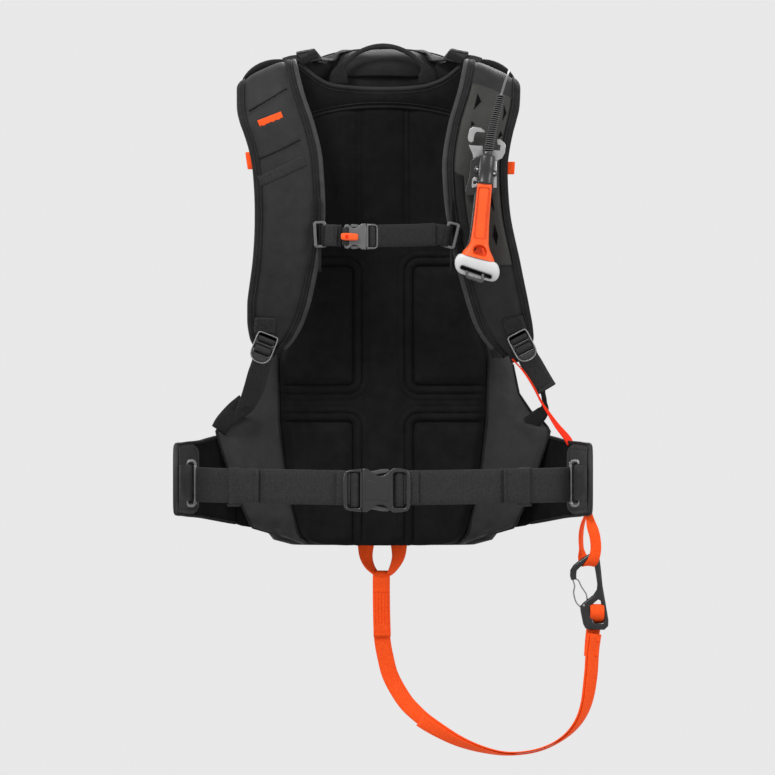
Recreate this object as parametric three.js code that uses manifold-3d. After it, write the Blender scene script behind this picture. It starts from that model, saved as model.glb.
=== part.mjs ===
// Avalanche airbag backpack, in millimetres, +Z up.
// The origin is the middle of the back panel's spine face, where the wearer's back rests.
// +X is to the right when facing the harness, and the harness side faces -Y.
import * as THREE from "three";
import { mergeVertices } from "three/addons/utils/BufferGeometryUtils.js";
import Module from "manifold-3d";

const wasm = await Module();
wasm.setup();

// ---- Driving dimensions ----
const GAP = 0.4; // clearance between neighbouring pieces
const BASE_Z = -250; // underside of the bag
const BAG_FRONT_Y = 22; // harness-side face of the bag
const BAG_DEPTH = 172;
const BAG_HALF_WIDTH = 146;
const WALL = 3;
const PANEL_THICKNESS = 14; // back panel foam
const HIP_WEBBING = 38;
const CHEST_WEBBING = 25;
const LEG_WEBBING = 20;
const WEBBING_THICKNESS = 1.6;
const BELT_Z = -179; // centre line of the hip belt
const CHEST_Z = 99; // centre line of the chest strap
const SLIDER_TRAVEL = 22; // chest strap height adjustment, each way

const DARK = 0x17181a;
const ORANGE = 0xf4511e;

const pack = new THREE.Group();

function v(x, y, z) {
  return new THREE.Vector3(x, y, z);
}

function material(color, roughness, metalness = 0) {
  return new THREE.MeshStandardMaterial({ color, roughness, metalness });
}

const FABRIC = material(DARK, 0.9);
const SMOOTH_FABRIC = material(0x2a2c2f, 0.7);
const WEBBING = material(0x1d1e20, 0.8);
const MOULDED = material(0x2b2d30, 0.45);
const ORANGE_FABRIC = material(ORANGE, 0.7);
const ORANGE_PLASTIC = material(ORANGE, 0.4);
const WHITE_PLASTIC = material(0xe6e6e6, 0.4);
const GREY_PLASTIC = material(0x8d9094, 0.4);
const METAL = material(0xb8babd, 0.35, 1);
const DARK_METAL = material(0x3a3d41, 0.35, 1);
const FOAM = material(0x202124, 0.95);

function add(name, geometry, finish) {
  const mesh = new THREE.Mesh(geometry, finish);
  mesh.name = name;
  pack.add(mesh);
  return mesh;
}

// ---- Solid modelling helpers ----
function solid(geometry) {
  const bare = geometry.clone();
  bare.deleteAttribute("normal");
  bare.deleteAttribute("uv");
  const merged = mergeVertices(bare, 1e-4);
  const mesh = new wasm.Mesh({
    numProp: 3,
    vertProperties: new Float32Array(merged.attributes.position.array),
    triVerts: new Uint32Array(merged.index.array),
  });
  return new wasm.Manifold(mesh);
}

function geometryOf(manifold) {
  const mesh = manifold.getMesh();
  const geometry = new THREE.BufferGeometry();
  geometry.setAttribute("position", new THREE.BufferAttribute(new Float32Array(mesh.vertProperties), 3));
  geometry.setIndex(new THREE.BufferAttribute(new Uint32Array(mesh.triVerts), 1));
  geometry.computeVertexNormals();
  return geometry;
}

function cut(geometry, ...tools) {
  return geometryOf(tools.reduce((left, tool) => left.subtract(solid(tool)), solid(geometry)));
}

function join(...pieces) {
  return geometryOf(pieces.map(solid).reduce((left, right) => left.add(right)));
}

function overlap(first, second) {
  return geometryOf(solid(first).intersect(solid(second)));
}

// A closed skin through rings of equal point count, capped at both ends.
function loft(rings) {
  const count = rings[0].length;
  const points = rings.flat();
  const faces = [];
  for (let r = 0; r + 1 < rings.length; r++) {
    for (let i = 0; i < count; i++) {
      const a = r * count + i;
      const b = r * count + ((i + 1) % count);
      faces.push(a, b, a + count, b, b + count, a + count);
    }
  }
  for (const [ring, flip] of [[0, true], [rings.length - 1, false]]) {
    const middle = rings[ring].reduce((sum, p) => sum.add(p), v(0, 0, 0)).divideScalar(count);
    points.push(middle);
    for (let i = 0; i < count; i++) {
      const a = ring * count + i;
      const b = ring * count + ((i + 1) % count);
      faces.push(...(flip ? [b, a, points.length - 1] : [a, b, points.length - 1]));
    }
  }
  const geometry = new THREE.BufferGeometry().setFromPoints(points);
  geometry.setIndex(faces);
  const made = solid(geometry);
  if (made.volume() < 0) {
    geometry.setIndex(faces.reverse());
  }
  geometry.computeVertexNormals();
  return geometry;
}

// A superellipse ring around a centre: power 2 is an ellipse, higher is squarer.
function ring(centre, sideways, upward, halfWidth, halfHeight, power, count) {
  const points = [];
  for (let i = 0; i < count; i++) {
    const angle = (i / count) * 2 * Math.PI;
    const c = Math.cos(angle);
    const s = Math.sin(angle);
    const along = Math.sign(c) * Math.abs(c) ** (2 / power) * halfWidth;
    const across = Math.sign(s) * Math.abs(s) ** (2 / power) * halfHeight;
    points.push(centre.clone().addScaledVector(sideways, along).addScaledVector(upward, across));
  }
  return points;
}

// A ribbon of rectangular section along a path; the side vector gives its width direction.
function ribbon(path, width, thickness, side) {
  const rings = path.map((point, i) => {
    const before = path[Math.max(i - 1, 0)];
    const after = path[Math.min(i + 1, path.length - 1)];
    const tangent = after.clone().sub(before).normalize();
    const wide = Array.isArray(side) ? side[i].clone() : side.clone();
    wide.addScaledVector(tangent, -wide.dot(tangent)).normalize();
    const thick = tangent.clone().cross(wide).normalize();
    const w = Array.isArray(width) ? width[i] / 2 : width / 2;
    const t = thickness / 2;
    return [[-w, -t], [w, -t], [w, t], [-w, t]].map(([along, across]) =>
      point.clone().addScaledVector(wide, along).addScaledVector(thick, across),
    );
  });
  return loft(rings);
}

// Points on a smooth curve through a few given points.
function smooth(points, steps) {
  return new THREE.CatmullRomCurve3(points, false, "centripetal").getSpacedPoints(steps);
}

// An outline drawn in X and Z, given its thickness from one Y to another.
function plate(outline, lowY, highY, holes = []) {
  const toPoints = (list) => {
    const points = list.map(([x, z]) => new THREE.Vector2(x, z));
    return THREE.ShapeUtils.isClockWise(points) ? points.reverse() : points;
  };
  const shape = new THREE.Shape(toPoints(outline));
  shape.holes = holes.map((hole) => new THREE.Path(toPoints(hole)));
  const geometry = new THREE.ExtrudeGeometry(shape, { depth: highY - lowY, bevelEnabled: false });
  return geometry.rotateX(Math.PI / 2).translate(0, highY, 0);
}

// A rectangle with rounded corners, as a list of points.
function roundedRectangle(centreX, centreZ, width, height, radius, steps = 3) {
  const points = [];
  const corners = [[1, 1, 0], [-1, 1, 1], [-1, -1, 2], [1, -1, 3]];
  for (const [sx, sz, quarter] of corners) {
    for (let i = 0; i <= steps; i++) {
      const angle = ((quarter + i / steps) * Math.PI) / 2;
      points.push([
        centreX + sx * (width / 2 - radius) + radius * Math.cos(angle),
        centreZ + sz * (height / 2 - radius) + radius * Math.sin(angle),
      ]);
    }
  }
  return points;
}

function block(low, high) {
  const size = high.clone().sub(low);
  const middle = high.clone().add(low).multiplyScalar(0.5);
  return new THREE.BoxGeometry(size.x, size.y, size.z).translate(middle.x, middle.y, middle.z);
}

// A cylinder from one point to another.
function rod(from, to, radius, sides = 12) {
  const direction = to.clone().sub(from);
  const turn = new THREE.Quaternion().setFromUnitVectors(v(0, 1, 0), direction.clone().normalize());
  const middle = from.clone().add(to).multiplyScalar(0.5);
  const geometry = new THREE.CylinderGeometry(radius, radius, direction.length(), sides);
  return geometry.applyQuaternion(turn).translate(middle.x, middle.y, middle.z);
}

const SIDEWAYS = v(1, 0, 0);
const BACKWARD = v(0, 1, 0);
const UP = v(0, 0, 1);

// ---- Bag ----
// Height, half width and depth of the bag's sections, from the base up.
const BAG_SECTIONS = [
  [BASE_Z, 112, 120],
  [-240, 134, 148],
  [-205, 144, 166],
  [-120, BAG_HALF_WIDTH, BAG_DEPTH],
  [0, BAG_HALF_WIDTH, BAG_DEPTH],
  [110, 143, 168],
  [190, 138, 158],
  [245, 128, 142],
  [280, 108, 118],
  [296, 82, 92],
];

function bagSkin(grow) {
  return loft(
    BAG_SECTIONS.map(([z, halfWidth, depth], i) => {
      const last = BAG_SECTIONS.length - 1;
      const lift = i === 0 ? -grow : i === last ? grow : 0;
      const centre = v(0, BAG_FRONT_Y + depth / 2, z + lift);
      return ring(centre, SIDEWAYS, BACKWARD, halfWidth + grow, depth / 2 + grow, 5, 32);
    }),
  );
}

const OPENING = { halfWidth: 88, low: -185, high: 150 };

function makeBag() {
  const doorway = block(v(-OPENING.halfWidth, 120, OPENING.low), v(OPENING.halfWidth, 240, OPENING.high));
  add("main_bag", cut(bagSkin(0), bagSkin(-WALL), doorway), FABRIC);

  const margin = 16;
  const low = v(-OPENING.halfWidth - margin, 110, OPENING.low - margin);
  const high = v(OPENING.halfWidth + margin, 260, OPENING.high + margin);
  add("front_pocket", cut(overlap(bagSkin(14), block(low, high)), bagSkin(GAP)), FABRIC);

  const lidRings = [[0, 70, 40], [5, 64, 36], [10, 48, 26]].map(([rise, halfWidth, halfDepth]) =>
    ring(v(0, 70, 296 + GAP + rise), SIDEWAYS, BACKWARD, halfWidth, halfDepth, 3, 24),
  );
  add("lid_pocket", loft(lidRings), FABRIC);
}

// ---- Airbag, inflation unit and stiffening inside the bag ----
const FAN = { x: 40, y: 95, z: 126, radius: 44, depth: 46, wall: 3 };

function makeAirbag() {
  const rings = [[218, 86, 30], [226, 98, 40], [262, 88, 36], [276, 66, 24]].map(([z, halfWidth, halfDepth]) =>
    ring(v(0, 88, z), SIDEWAYS, BACKWARD, halfWidth, halfDepth, 3, 24),
  );
  add("airbag_folded", loft(rings), ORANGE_FABRIC);
}

function makeFan() {
  const { x, y, z, radius, depth, wall } = FAN;
  const back = y + depth / 2;
  const front = y - depth / 2;
  const outside = rod(v(x, front, z), v(x, back, z), radius, 32);
  const bore = rod(v(x, front + wall, z), v(x, back - wall, z), radius - wall, 32);
  const inlet = rod(v(x, back - wall - 1, z), v(x, back + 1, z), radius * 0.6, 24);
  const outlet = rod(v(x, y, z + radius * 0.5), v(x, y, z + radius + 14), 15, 20);
  const outletBore = rod(v(x, y, z + radius * 0.5 - 1), v(x, y, z + radius + 15), 12.5, 20);
  const spout = cut(outlet, rod(v(x, front, z), v(x, back, z), radius - wall / 2, 32));
  const body = join(outside, spout);
  add("blower_housing", cut(body, bore, inlet, outletBore), MOULDED);

  const shaftTip = y + 9;
  const motorTop = front + wall + GAP + 18;
  add("fan_motor", rod(v(x, front + wall + GAP, z), v(x, motorTop, z), 15, 24), METAL);
  const hub = rod(v(x, motorTop + GAP, z), v(x, shaftTip, z), 9, 20);
  const blades = [];
  const bladeCount = 8;
  for (let i = 0; i < bladeCount; i++) {
    const blade = block(v(7, motorTop + GAP, -0.8), v(radius - wall - 4, shaftTip - 1, 0.8));
    blade.rotateY((i / bladeCount) * 2 * Math.PI).translate(x, 0, z);
    blades.push(blade);
  }
  add("impeller", join(hub, ...blades), GREY_PLASTIC);

  const ductLow = v(x, y, z + radius + 15.5);
  const ductHigh = v(x, y, 217);
  add("air_duct", cut(rod(ductLow, ductHigh, 17, 20), rod(v(x, y, 150), v(x, y, 225), 12.5, 20)), MOULDED);
}

function makeElectronics() {
  const trayLow = v(-92, 66, 96);
  const trayHigh = v(-14, 72, 168);
  const cells = [];
  for (let column = 0; column < 3; column++) {
    for (let row = 0; row < 2; row++) {
      const x = -79 + column * 26;
      const z = 114 + row * 36;
      cells.push(rod(v(x, 71, z), v(x, 118, z), 11, 16));
    }
  }
  add("capacitor_bank", join(block(trayLow, trayHigh), ...cells), GREY_PLASTIC);

  const boxLow = v(-92, 66, 30);
  const boxHigh = v(-14, 98, 84);
  const buttonX = -34;
  const buttonZ = 57;
  const well = rod(v(buttonX, 90, buttonZ), v(buttonX, 100, buttonZ), 8.5, 24);
  add("control_box", cut(block(boxLow, boxHigh), well), MOULDED);
  const cap = rod(v(buttonX, 93, buttonZ), v(buttonX, 100, buttonZ), 8.1, 24);
  add("power_button", cap, ORANGE_PLASTIC);
}

function makeFrame() {
  const sheet = roundedRectangle(0, 0, 220, 440, 30);
  add("frame_sheet", plate(sheet, PANEL_THICKNESS + GAP, PANEL_THICKNESS + 2), MOULDED);
  const outer = roundedRectangle(0, 0, 180, 400, 40);
  const inner = roundedRectangle(0, 0, 166, 386, 33);
  const lowY = PANEL_THICKNESS + 2 + GAP;
  add("frame_stay", plate(outer, lowY, lowY + 3, [inner]), METAL);
}

// ---- Back panel with raised pads ----
const PANEL_SIDE = [[-104, 20], [-119, -34], [-117, -107], [-108, -185], [-93, -238]];

function makeBackPanel() {
  const mirrored = PANEL_SIDE.map(([x, z]) => [-x, z]).reverse();
  const arch = [
    [96, 150], [92, 226], [84, 233], [50, 244], [0, 247], [-50, 244], [-84, 233], [-92, 226], [-96, 150],
  ];
  const base = plate([...PANEL_SIDE, [-60, -247], [60, -247], ...mirrored, ...arch], 0, PANEL_THICKNESS);
  const pads = [];
  for (const side of [-1, 1]) {
    const shapes = [
      roundedRectangle(side * 66, -5, 78, 140, 14),
      roundedRectangle(side * 63, -170, 72, 120, 14),
      roundedRectangle(side * 60, 165, 56, 120, 16),
    ];
    pads.push(...shapes.map((shape) => plate(shape, -8, 1)));
  }
  add("back_panel", join(base, ...pads), FOAM);
}

function makeYoke() {
  const top = [[-97, 296], [-82, 284], [-50, 268], [0, 266], [43, 268], [75, 284], [95, 296]];
  const bottom = [[90, 234], [50, 245], [0, 248], [-50, 245], [-90, 234]];
  add("yoke", plate([...top, ...bottom], -12, -GAP), FABRIC);
}

// ---- Hip wings and fins ----
// Each station of a wing or fin: X from the middle, Y of its face, lowest Z and highest Z.
const WING_STATIONS = [
  [122, 2, -214, -30],
  [134, 0, -232, -52],
  [150, -2, -228, -92],
  [168, -6, -226, -112],
];
const FIN_STATIONS = [
  [169.5, -8, -224, -121],
  [188, -22, -220, -125],
  [204, -46, -216, -129],
  [216, -74, -213, -130],
  [229, -104, -211, -132],
];

function leafRings(stations, side, thickness) {
  return stations.map(([x, y, low, high], i) => {
    const before = stations[Math.max(i - 1, 0)];
    const after = stations[Math.min(i + 1, stations.length - 1)];
    const tangent = v(side * (after[0] - before[0]), after[1] - before[1], 0).normalize();
    const thick = tangent.clone().cross(UP).normalize();
    const centre = v(side * x, y, (low + high) / 2);
    return ring(centre, UP, thick, (high - low) / 2, thickness / 2, 6, 16);
  });
}

function makeWings() {
  for (const [side, name] of [[-1, "left"], [1, "right"]]) {
    add(`wing_${name}`, loft(leafRings(WING_STATIONS, side, 6)), SMOOTH_FABRIC);
    add(`hip_fin_${name}`, loft(leafRings(FIN_STATIONS, side, 8)), FABRIC);
  }
}

// ---- Shoulder straps ----
// Each station: middle X, middle Y, Z and width, from the yoke over the top and down the front.
const STRAP_THICKNESS = 9;
const LEFT_STRAP = [
  [-130, 12, 274, 58],
  [-131, -4, 289, 58],
  [-132, -26, 294, 62],
  [-131, -48, 284, 64],
  [-126, -66, 256, 72],
  [-119, -78, 225, 78],
  [-108, -87, 170, 74],
  [-105, -90, 135, 74],
  [-107, -90, 96, 72],
  [-110, -88, 65, 69],
  [-117, -76, 25, 67],
  [-122, -64, -3, 57],
  [-126, -55, -22, 42],
  [-127, -50, -34, 18],
];
const RIGHT_STRAP = [
  [126, 12, 274, 54],
  [125, -4, 289, 54],
  [124, -26, 294, 58],
  [123, -48, 284, 60],
  [118, -66, 256, 66],
  [111, -78, 225, 70],
  [104, -87, 170, 68],
  [106, -90, 135, 67],
  [112, -90, 96, 67],
  [119, -88, 65, 68],
  [129, -76, 25, 65],
  [136, -64, -3, 61],
  [143, -55, -22, 50],
  [142, -50, -34, 22],
];

function strapRings(stations) {
  return stations.map(([x, y, z, width], i) => {
    const before = stations[Math.max(i - 1, 0)];
    const after = stations[Math.min(i + 1, stations.length - 1)];
    const thick = v(0, after[1] - before[1], after[2] - before[2]).normalize().cross(SIDEWAYS);
    return ring(v(x, y, z), SIDEWAYS, thick, width / 2, STRAP_THICKNESS / 2, 6, 16);
  });
}

function makeShoulderStraps() {
  add("shoulder_strap_left", loft(strapRings(LEFT_STRAP)), FABRIC);
  add("shoulder_strap_right", loft(strapRings(RIGHT_STRAP)), FABRIC);
}

// The ladder lock at each strap's end, with the webbing that tightens the strap.
const LOCK = { width: 31, height: 36, thickness: 4.5, bar: 4.5, z: -25, y: -71.8 };

function makeLadderLock(name, x) {
  const slotHeight = (LOCK.height - 3 * LOCK.bar) / 2;
  const slotWidth = LOCK.width - 2 * LOCK.bar + 1.5;
  const slotOffset = (slotHeight + LOCK.bar) / 2;
  const slots = [-1, 1].map((side) =>
    roundedRectangle(x, LOCK.z + side * slotOffset, slotWidth, slotHeight, 2),
  );
  const outline = roundedRectangle(x, LOCK.z, LOCK.width, LOCK.height, 8, 4);
  const low = LOCK.y - LOCK.thickness / 2;
  add(name, plate(outline, low, low + LOCK.thickness, slots), MOULDED);
}

function makeAdjusters() {
  makeLadderLock("ladder_lock_left", -133);
  makeLadderLock("ladder_lock_right", 156);
  const leftPath = [v(-134, -68, -46), v(-140, -50, -60), v(-150, -26, -82), v(-161, -13, -101)];
  const rightPath = [v(160, -68, -49), v(171, -56, -57), v(184, -44, -68), v(187, -27, -83), v(178, -12, -103)];
  const leftSide = [v(1, 0, 0), v(1, 0.3, 0), v(1, 0.6, 0), v(0.8, 0, 0.6)];
  const rightSide = [v(1, 0, 0), v(0.5, 0.5, 0.6), v(0.3, 0.8, 0.5), v(0.8, 0.5, 0), v(1, 0, 0.2)];
  add("adjust_webbing_left", ribbon(leftPath, [23, 22, 20, 20], WEBBING_THICKNESS, leftSide), WEBBING);
  add("adjust_webbing_right", ribbon(rightPath, [20, 19, 18, 18, 18], WEBBING_THICKNESS, rightSide), WEBBING);
}

// The load lifters pull the tops of the straps back towards the bag.
function makeLifters() {
  for (const [side, name, shift] of [[-1, "left", 0], [1, "right", -4]]) {
    const x = side * (84 + shift);
    const frame = roundedRectangle(0, 0, 26, 22, 5);
    const slots = [-5, 5].map((offset) => roundedRectangle(offset, 0, 5.5, 15, 2));
    const buckle = plate(frame, -2, 2, slots).rotateX(-0.9).translate(x, 6, 305);
    add(`lifter_buckle_${name}`, buckle, MOULDED);
    const reach = side * (1 + shift / 84);
    const path = [
      v(reach * 102, 4, 304), v(reach * 112, -8, 303.5), v(reach * 130, -17, 303), v(reach * 151, -23, 302),
    ];
    add(`lifter_webbing_${name}`, ribbon(path, 20, WEBBING_THICKNESS, v(0.3 * side, 1, 0)), WEBBING);
  }
}

function makeHaulLoop() {
  const half = [[-47, 274, 9, 1.6], [-46, 286, 7, 2], [-38, 301, 3.6, 3], [-20, 312, 3, 3], [0, 315, 3, 3]];
  const path = [...half, ...half.slice(0, -1).map(([x, ...rest]) => [-x, ...rest]).reverse()];
  const rings = path.map(([x, z, wide, thick], i) => {
    const before = path[Math.max(i - 1, 0)];
    const after = path[Math.min(i + 1, path.length - 1)];
    const tangent = v(after[0] - before[0], 0, after[1] - before[1]).normalize();
    return ring(v(x, 9, z), tangent.clone().cross(BACKWARD), BACKWARD, wide, thick, 2.5, 10);
  });
  add("haul_loop", loft(rings), WEBBING);
}

// ---- Buckles ----
// A side-release buckle. The socket lies on the side given by its sign; the plug slides out the other way.
function makeBuckle(spec) {
  const { socketName, plugName, socketSide, joinX, y, z, halfHeight, thickness, length, plugLength } = spec;
  const half = thickness / 2;
  const wall = thickness * 0.16;
  const at = (along) => joinX + socketSide * along;
  const bar = plugLength * 0.28;
  const between = (a, b, lowZ, highZ, depth) =>
    block(v(Math.min(at(a), at(b)), y - depth, z + lowZ), v(Math.max(at(a), at(b)), y + depth, z + highZ));
  const waist = halfHeight * 0.86;
  const outlineOf = (list) => list.map(([along, up]) => [at(along), z + up]);
  const socketOutline = outlineOf([
    [0, -halfHeight], [length * 0.3, -waist], [length * 0.6, -waist], [length, -halfHeight * 0.94],
    [length, halfHeight * 0.94], [length * 0.6, waist], [length * 0.3, waist], [0, halfHeight],
  ]);
  const cavityDepth = length * 0.62;
  const cavityHalf = waist - wall * 2.2;
  const cavity = between(-1, cavityDepth, -cavityHalf, cavityHalf, half - wall);
  const window = between(length * 0.3, cavityDepth, -halfHeight - 1, halfHeight + 1, half - wall);
  const socketSlot = between(length - bar * 2.2, length - bar, -halfHeight * 0.82, halfHeight * 0.82, half + 1);
  const socket = cut(plate(socketOutline, y - half, y + half), cavity, window, socketSlot);
  add(socketName, socket, MOULDED);

  const headOutline = outlineOf([
    [-plugLength, -halfHeight * 0.94], [-GAP, -halfHeight], [-GAP, halfHeight], [-plugLength, halfHeight * 0.94],
  ]);
  const prongHalf = half - wall - GAP;
  const slotHalf = halfHeight * 0.82;
  const plugSlot = between(-plugLength + bar, -plugLength + bar * 2.2, -slotHalf, slotHalf, half + 1);
  const head = cut(plate(headOutline, y - half * 0.8, y + half * 0.8), plugSlot);
  const reach = cavityDepth - 1;
  const prongHigh = cavityHalf - GAP;
  const prongLow = prongHigh - halfHeight * 0.26;
  const tongue = between(-2, reach * 0.8, -halfHeight * 0.14, halfHeight * 0.14, prongHalf);
  const prongs = [
    between(-2, reach, prongLow, prongHigh, prongHalf),
    between(-2, reach, -prongHigh, -prongLow, prongHalf),
  ];
  add(plugName, join(head, tongue, ...prongs), MOULDED);
}

// ---- Hip belt ----
const BELT_Y = -130;
const FIN_TIP_ANGLE = Math.atan2(58, 25); // of the fin's end, seen from above

function makeHipBelt() {
  makeBuckle({
    socketName: "hip_buckle_socket",
    plugName: "hip_buckle_plug",
    socketSide: 1,
    joinX: -22,
    y: BELT_Y,
    z: -183,
    halfHeight: 25,
    thickness: 13,
    length: 52,
    plugLength: 22,
  });
  const keeperAt = { left: [-172, -158], right: [149, 164] };
  for (const [side, name, start] of [[-1, "left", -45.5], [1, "right", 31.5]]) {
    const path = [
      v(start, BELT_Y, BELT_Z - 2),
      v(side * 95, -124, BELT_Z),
      v(side * 145, -113, BELT_Z),
      v(side * 185, -98, BELT_Z),
      v(side * 202, -86, BELT_Z),
    ];
    add(`hip_webbing_${name}`, ribbon(path, HIP_WEBBING, WEBBING_THICKNESS, UP), WEBBING);
    const curve = new THREE.CatmullRomCurve3(path.slice(1, 4));
    const [from, to] = keeperAt[name].map((x) => {
      const share = (Math.abs(x) - 95) / (185 - 95);
      return curve.getPointAt(share);
    });
    const outward = to.clone().sub(from).normalize().multiplyScalar(4);
    const sleeve = ribbon([from, to], HIP_WEBBING + 5, 7, UP);
    const passage = [from.clone().sub(outward), to.clone().add(outward)];
    add(`keeper_${name}`, cut(sleeve, ribbon(passage, HIP_WEBBING + 1.5, 4.4, UP)), WEBBING);

    const outer = roundedRectangle(0, 0, 14, 50, 4);
    const inner = roundedRectangle(0, 0, 6, 42, 2);
    const loopRing = plate(outer, -2, 2, [inner]).rotateZ(side * -FIN_TIP_ANGLE);
    add(`bar_loop_${name}`, loopRing.translate(side * 212, -82.8, BELT_Z + 4), METAL);
  }
}

// ---- Chest strap ----
const CHEST_Y = -102;
const RAIL = { left: -70, right: 76, y: -98.5, radius: 1.6 };

function makeChestStrap() {
  makeBuckle({
    socketName: "chest_buckle_socket",
    plugName: "chest_buckle_plug",
    socketSide: -1,
    joinX: -19,
    y: CHEST_Y,
    z: CHEST_Z,
    halfHeight: 14.5,
    thickness: 9,
    length: 24,
    plugLength: 13,
  });
  add("whistle", rod(v(-38, CHEST_Y - 7.2, CHEST_Z), v(-22, CHEST_Y - 7.2, CHEST_Z), 2.4, 12), ORANGE_PLASTIC);
  const runs = { left: [-62, -44], right: [-5, 67] };
  for (const [side, name] of [[-1, "left"], [1, "right"]]) {
    const x = RAIL[name];
    const railLow = v(x, RAIL.y, CHEST_Z - SLIDER_TRAVEL - 19);
    const railHigh = v(x, RAIL.y, CHEST_Z + SLIDER_TRAVEL + 19);
    add(`chest_rail_${name}`, rod(railLow, railHigh, RAIL.radius, 10), MOULDED);
    const outline = roundedRectangle(x - side * 1, CHEST_Z, 14, 28, 3);
    const slot = roundedRectangle(x - side * 5, CHEST_Z, 3.5, 22, 1);
    const body = plate(outline, RAIL.y - 3.4, RAIL.y + 3.4, [slot]);
    const bore = rod(v(x, RAIL.y, CHEST_Z - 20), v(x, RAIL.y, CHEST_Z + 20), RAIL.radius + GAP, 10);
    add(`chest_slider_${name}`, cut(body, bore), GREY_PLASTIC);
    const [from, to] = runs[name];
    const webbing = block(
      v(from, CHEST_Y - WEBBING_THICKNESS / 2, CHEST_Z - CHEST_WEBBING / 2),
      v(to, CHEST_Y + WEBBING_THICKNESS / 2, CHEST_Z + CHEST_WEBBING / 2),
    );
    add(`chest_webbing_${name}`, webbing, WEBBING);
  }
}

// ---- Trigger ----
// The handle hangs on its mount and is pulled down along its axis.
const TRIGGER_TOP = v(112.4, -115, 154.5);
const TRIGGER_DOWN = v(-0.0914, 0, -0.9958);
const COLLAR_LENGTH = 31;
const GRIP_LENGTH = 82.2;

function alongTrigger(distance) {
  return TRIGGER_TOP.clone().addScaledVector(TRIGGER_DOWN, distance);
}

// Each station: distance along the axis, half width and half depth.
function triggerLoft(stations, power) {
  const across = TRIGGER_DOWN.clone().cross(BACKWARD).normalize();
  return loft(
    stations.map(([distance, halfWidth, halfDepth]) =>
      ring(alongTrigger(distance), across, BACKWARD, halfWidth, halfDepth, power, 20),
    ),
  );
}

function makeTriggerMount() {
  const panelStations = [[120.5, -57, 270, 63], ...RIGHT_STRAP.slice(4, 10)];
  const widths = [46, 48, 50, 46, 40, 40, 42];
  const shifts = [0, 0, 0, 3, 5, 5, 5];
  const standOff = STRAP_THICKNESS / 2 + 1.4;
  const panelPath = panelStations.map(([x, y, z], i) => {
    const before = panelStations[Math.max(i - 1, 0)];
    const after = panelStations[Math.min(i + 1, panelStations.length - 1)];
    const outward = v(0, after[1] - before[1], after[2] - before[2]).normalize().cross(SIDEWAYS);
    return v(x + shifts[i], y, z).addScaledVector(outward, standOff);
  });
  add("trigger_panel", ribbon(panelPath, widths, 1.2, SIDEWAYS), FABRIC);

  const leftHook = [[109, 192], [96, 192], [96, 217], [112.5, 217], [112.5, 212], [101, 212], [101, 200], [109, 200]];
  const rightHook = [[125, 180], [136, 180], [136, 205], [126.5, 205], [126.5, 199], [130, 199], [130, 192], [125, 192]];
  const bracketPieces = [
    plate(roundedRectangle(117, 186, 20, 50, 3), -99.5, -97.5),
    plate(leftHook, -99.5, -97.5),
    plate(rightHook, -99.5, -97.5),
  ];
  add("trigger_bracket", join(...bracketPieces), METAL);

  const collar = rod(alongTrigger(-COLLAR_LENGTH), alongTrigger(-GAP), 10, 24);
  const footing = block(v(107, -107, 157.5), v(121, -101.5, 182.5));
  const basePlate = plate(roundedRectangle(107, 163.5, 34, 46, 5), -104.5, -101.5);
  const rivets = [[103, 170.5], [123, 167.5]].map(([x, z]) => rod(v(x, -106.5, z), v(x, -103, z), 3, 12));
  const bore = rod(alongTrigger(-COLLAR_LENGTH - 1), alongTrigger(1), 3.2, 16);
  add("trigger_mount", cut(join(collar, footing, basePlate, ...rivets), bore), MOULDED);
}

function makeTriggerHandle() {
  const grip = triggerLoft(
    [
      [0, 9, 7.5], [8, 9.3, 8], [35, 8.6, 7.6], [57, 8.2, 7.4], [68, 10.5, 8], [76.5, 16.5, 8.6],
      [GRIP_LENGTH, 18.5, 8.8],
    ],
    4,
  );
  const core = rod(alongTrigger(-COLLAR_LENGTH + 3), alongTrigger(4), 2.2, 12);
  const scoopAt = alongTrigger(70);
  const scoop = rod(scoopAt.clone().setY(-130), scoopAt.clone().setY(-118), 5.5, 16);
  add("trigger_grip", cut(join(grip, core), scoop), ORANGE_PLASTIC);
  const knob = triggerLoft([[82.6, 21, 9.4], [86.6, 25.3, 10], [93.6, 25.5, 10], [98.6, 23, 9], [103.4, 15, 7]], 3.5);
  const notch = rod(alongTrigger(96.6).setY(-126), alongTrigger(96.6).setY(-119), 4, 12);
  add("trigger_knob", cut(knob, notch), WHITE_PLASTIC);
}

const COIL_RADIUS = 5.2;
const SHEATH_RADIUS = 1.7;

function makeTriggerCable() {
  const start = alongTrigger(-COLLAR_LENGTH - GAP);
  const points = [
    start, v(115.8, -115, 192), v(118, -115, 200), v(123.2, -113.5, 222), v(127.7, -110, 242),
    v(131, -106, 254.6), v(136.5, -92, 271), v(140, -75, 280), v(140.5, -58, 287),
  ];
  const steps = 24;
  const coilSteps = 13;
  const path = smooth(points, steps);
  const rings = path.map((point, i) => {
    const before = path[Math.max(i - 1, 0)];
    const after = path[Math.min(i + 1, steps)];
    const tangent = after.clone().sub(before).normalize();
    const sideways = tangent.clone().cross(BACKWARD).normalize();
    const radius = i <= coilSteps ? COIL_RADIUS : SHEATH_RADIUS;
    return ring(point, sideways, tangent.clone().cross(sideways), radius, radius, 2, 10);
  });
  add("trigger_cable", loft(rings), MOULDED);
}

// ---- Leg strap with its carabiner, and the loops at the right hip ----
// The leg strap hangs from the base, swings under the bag and rises to the carabiner.
const LEG_ROUTE = [
  [-2, 30, -301], [-1.6, 29, -325], [-1, 27, -353], [3, 23, -376], [9, 18, -397], [23, 8, -421], [36, 0, -435],
  [52, -10, -447], [84, -28, -464], [116, -46, -474], [144, -60, -477], [173, -73, -472], [197, -82, -460],
  [214, -87, -443], [224, -89.5, -421], [229, -90, -390], [231, -90, -362], [233.5, -90, -343],
];

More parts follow.
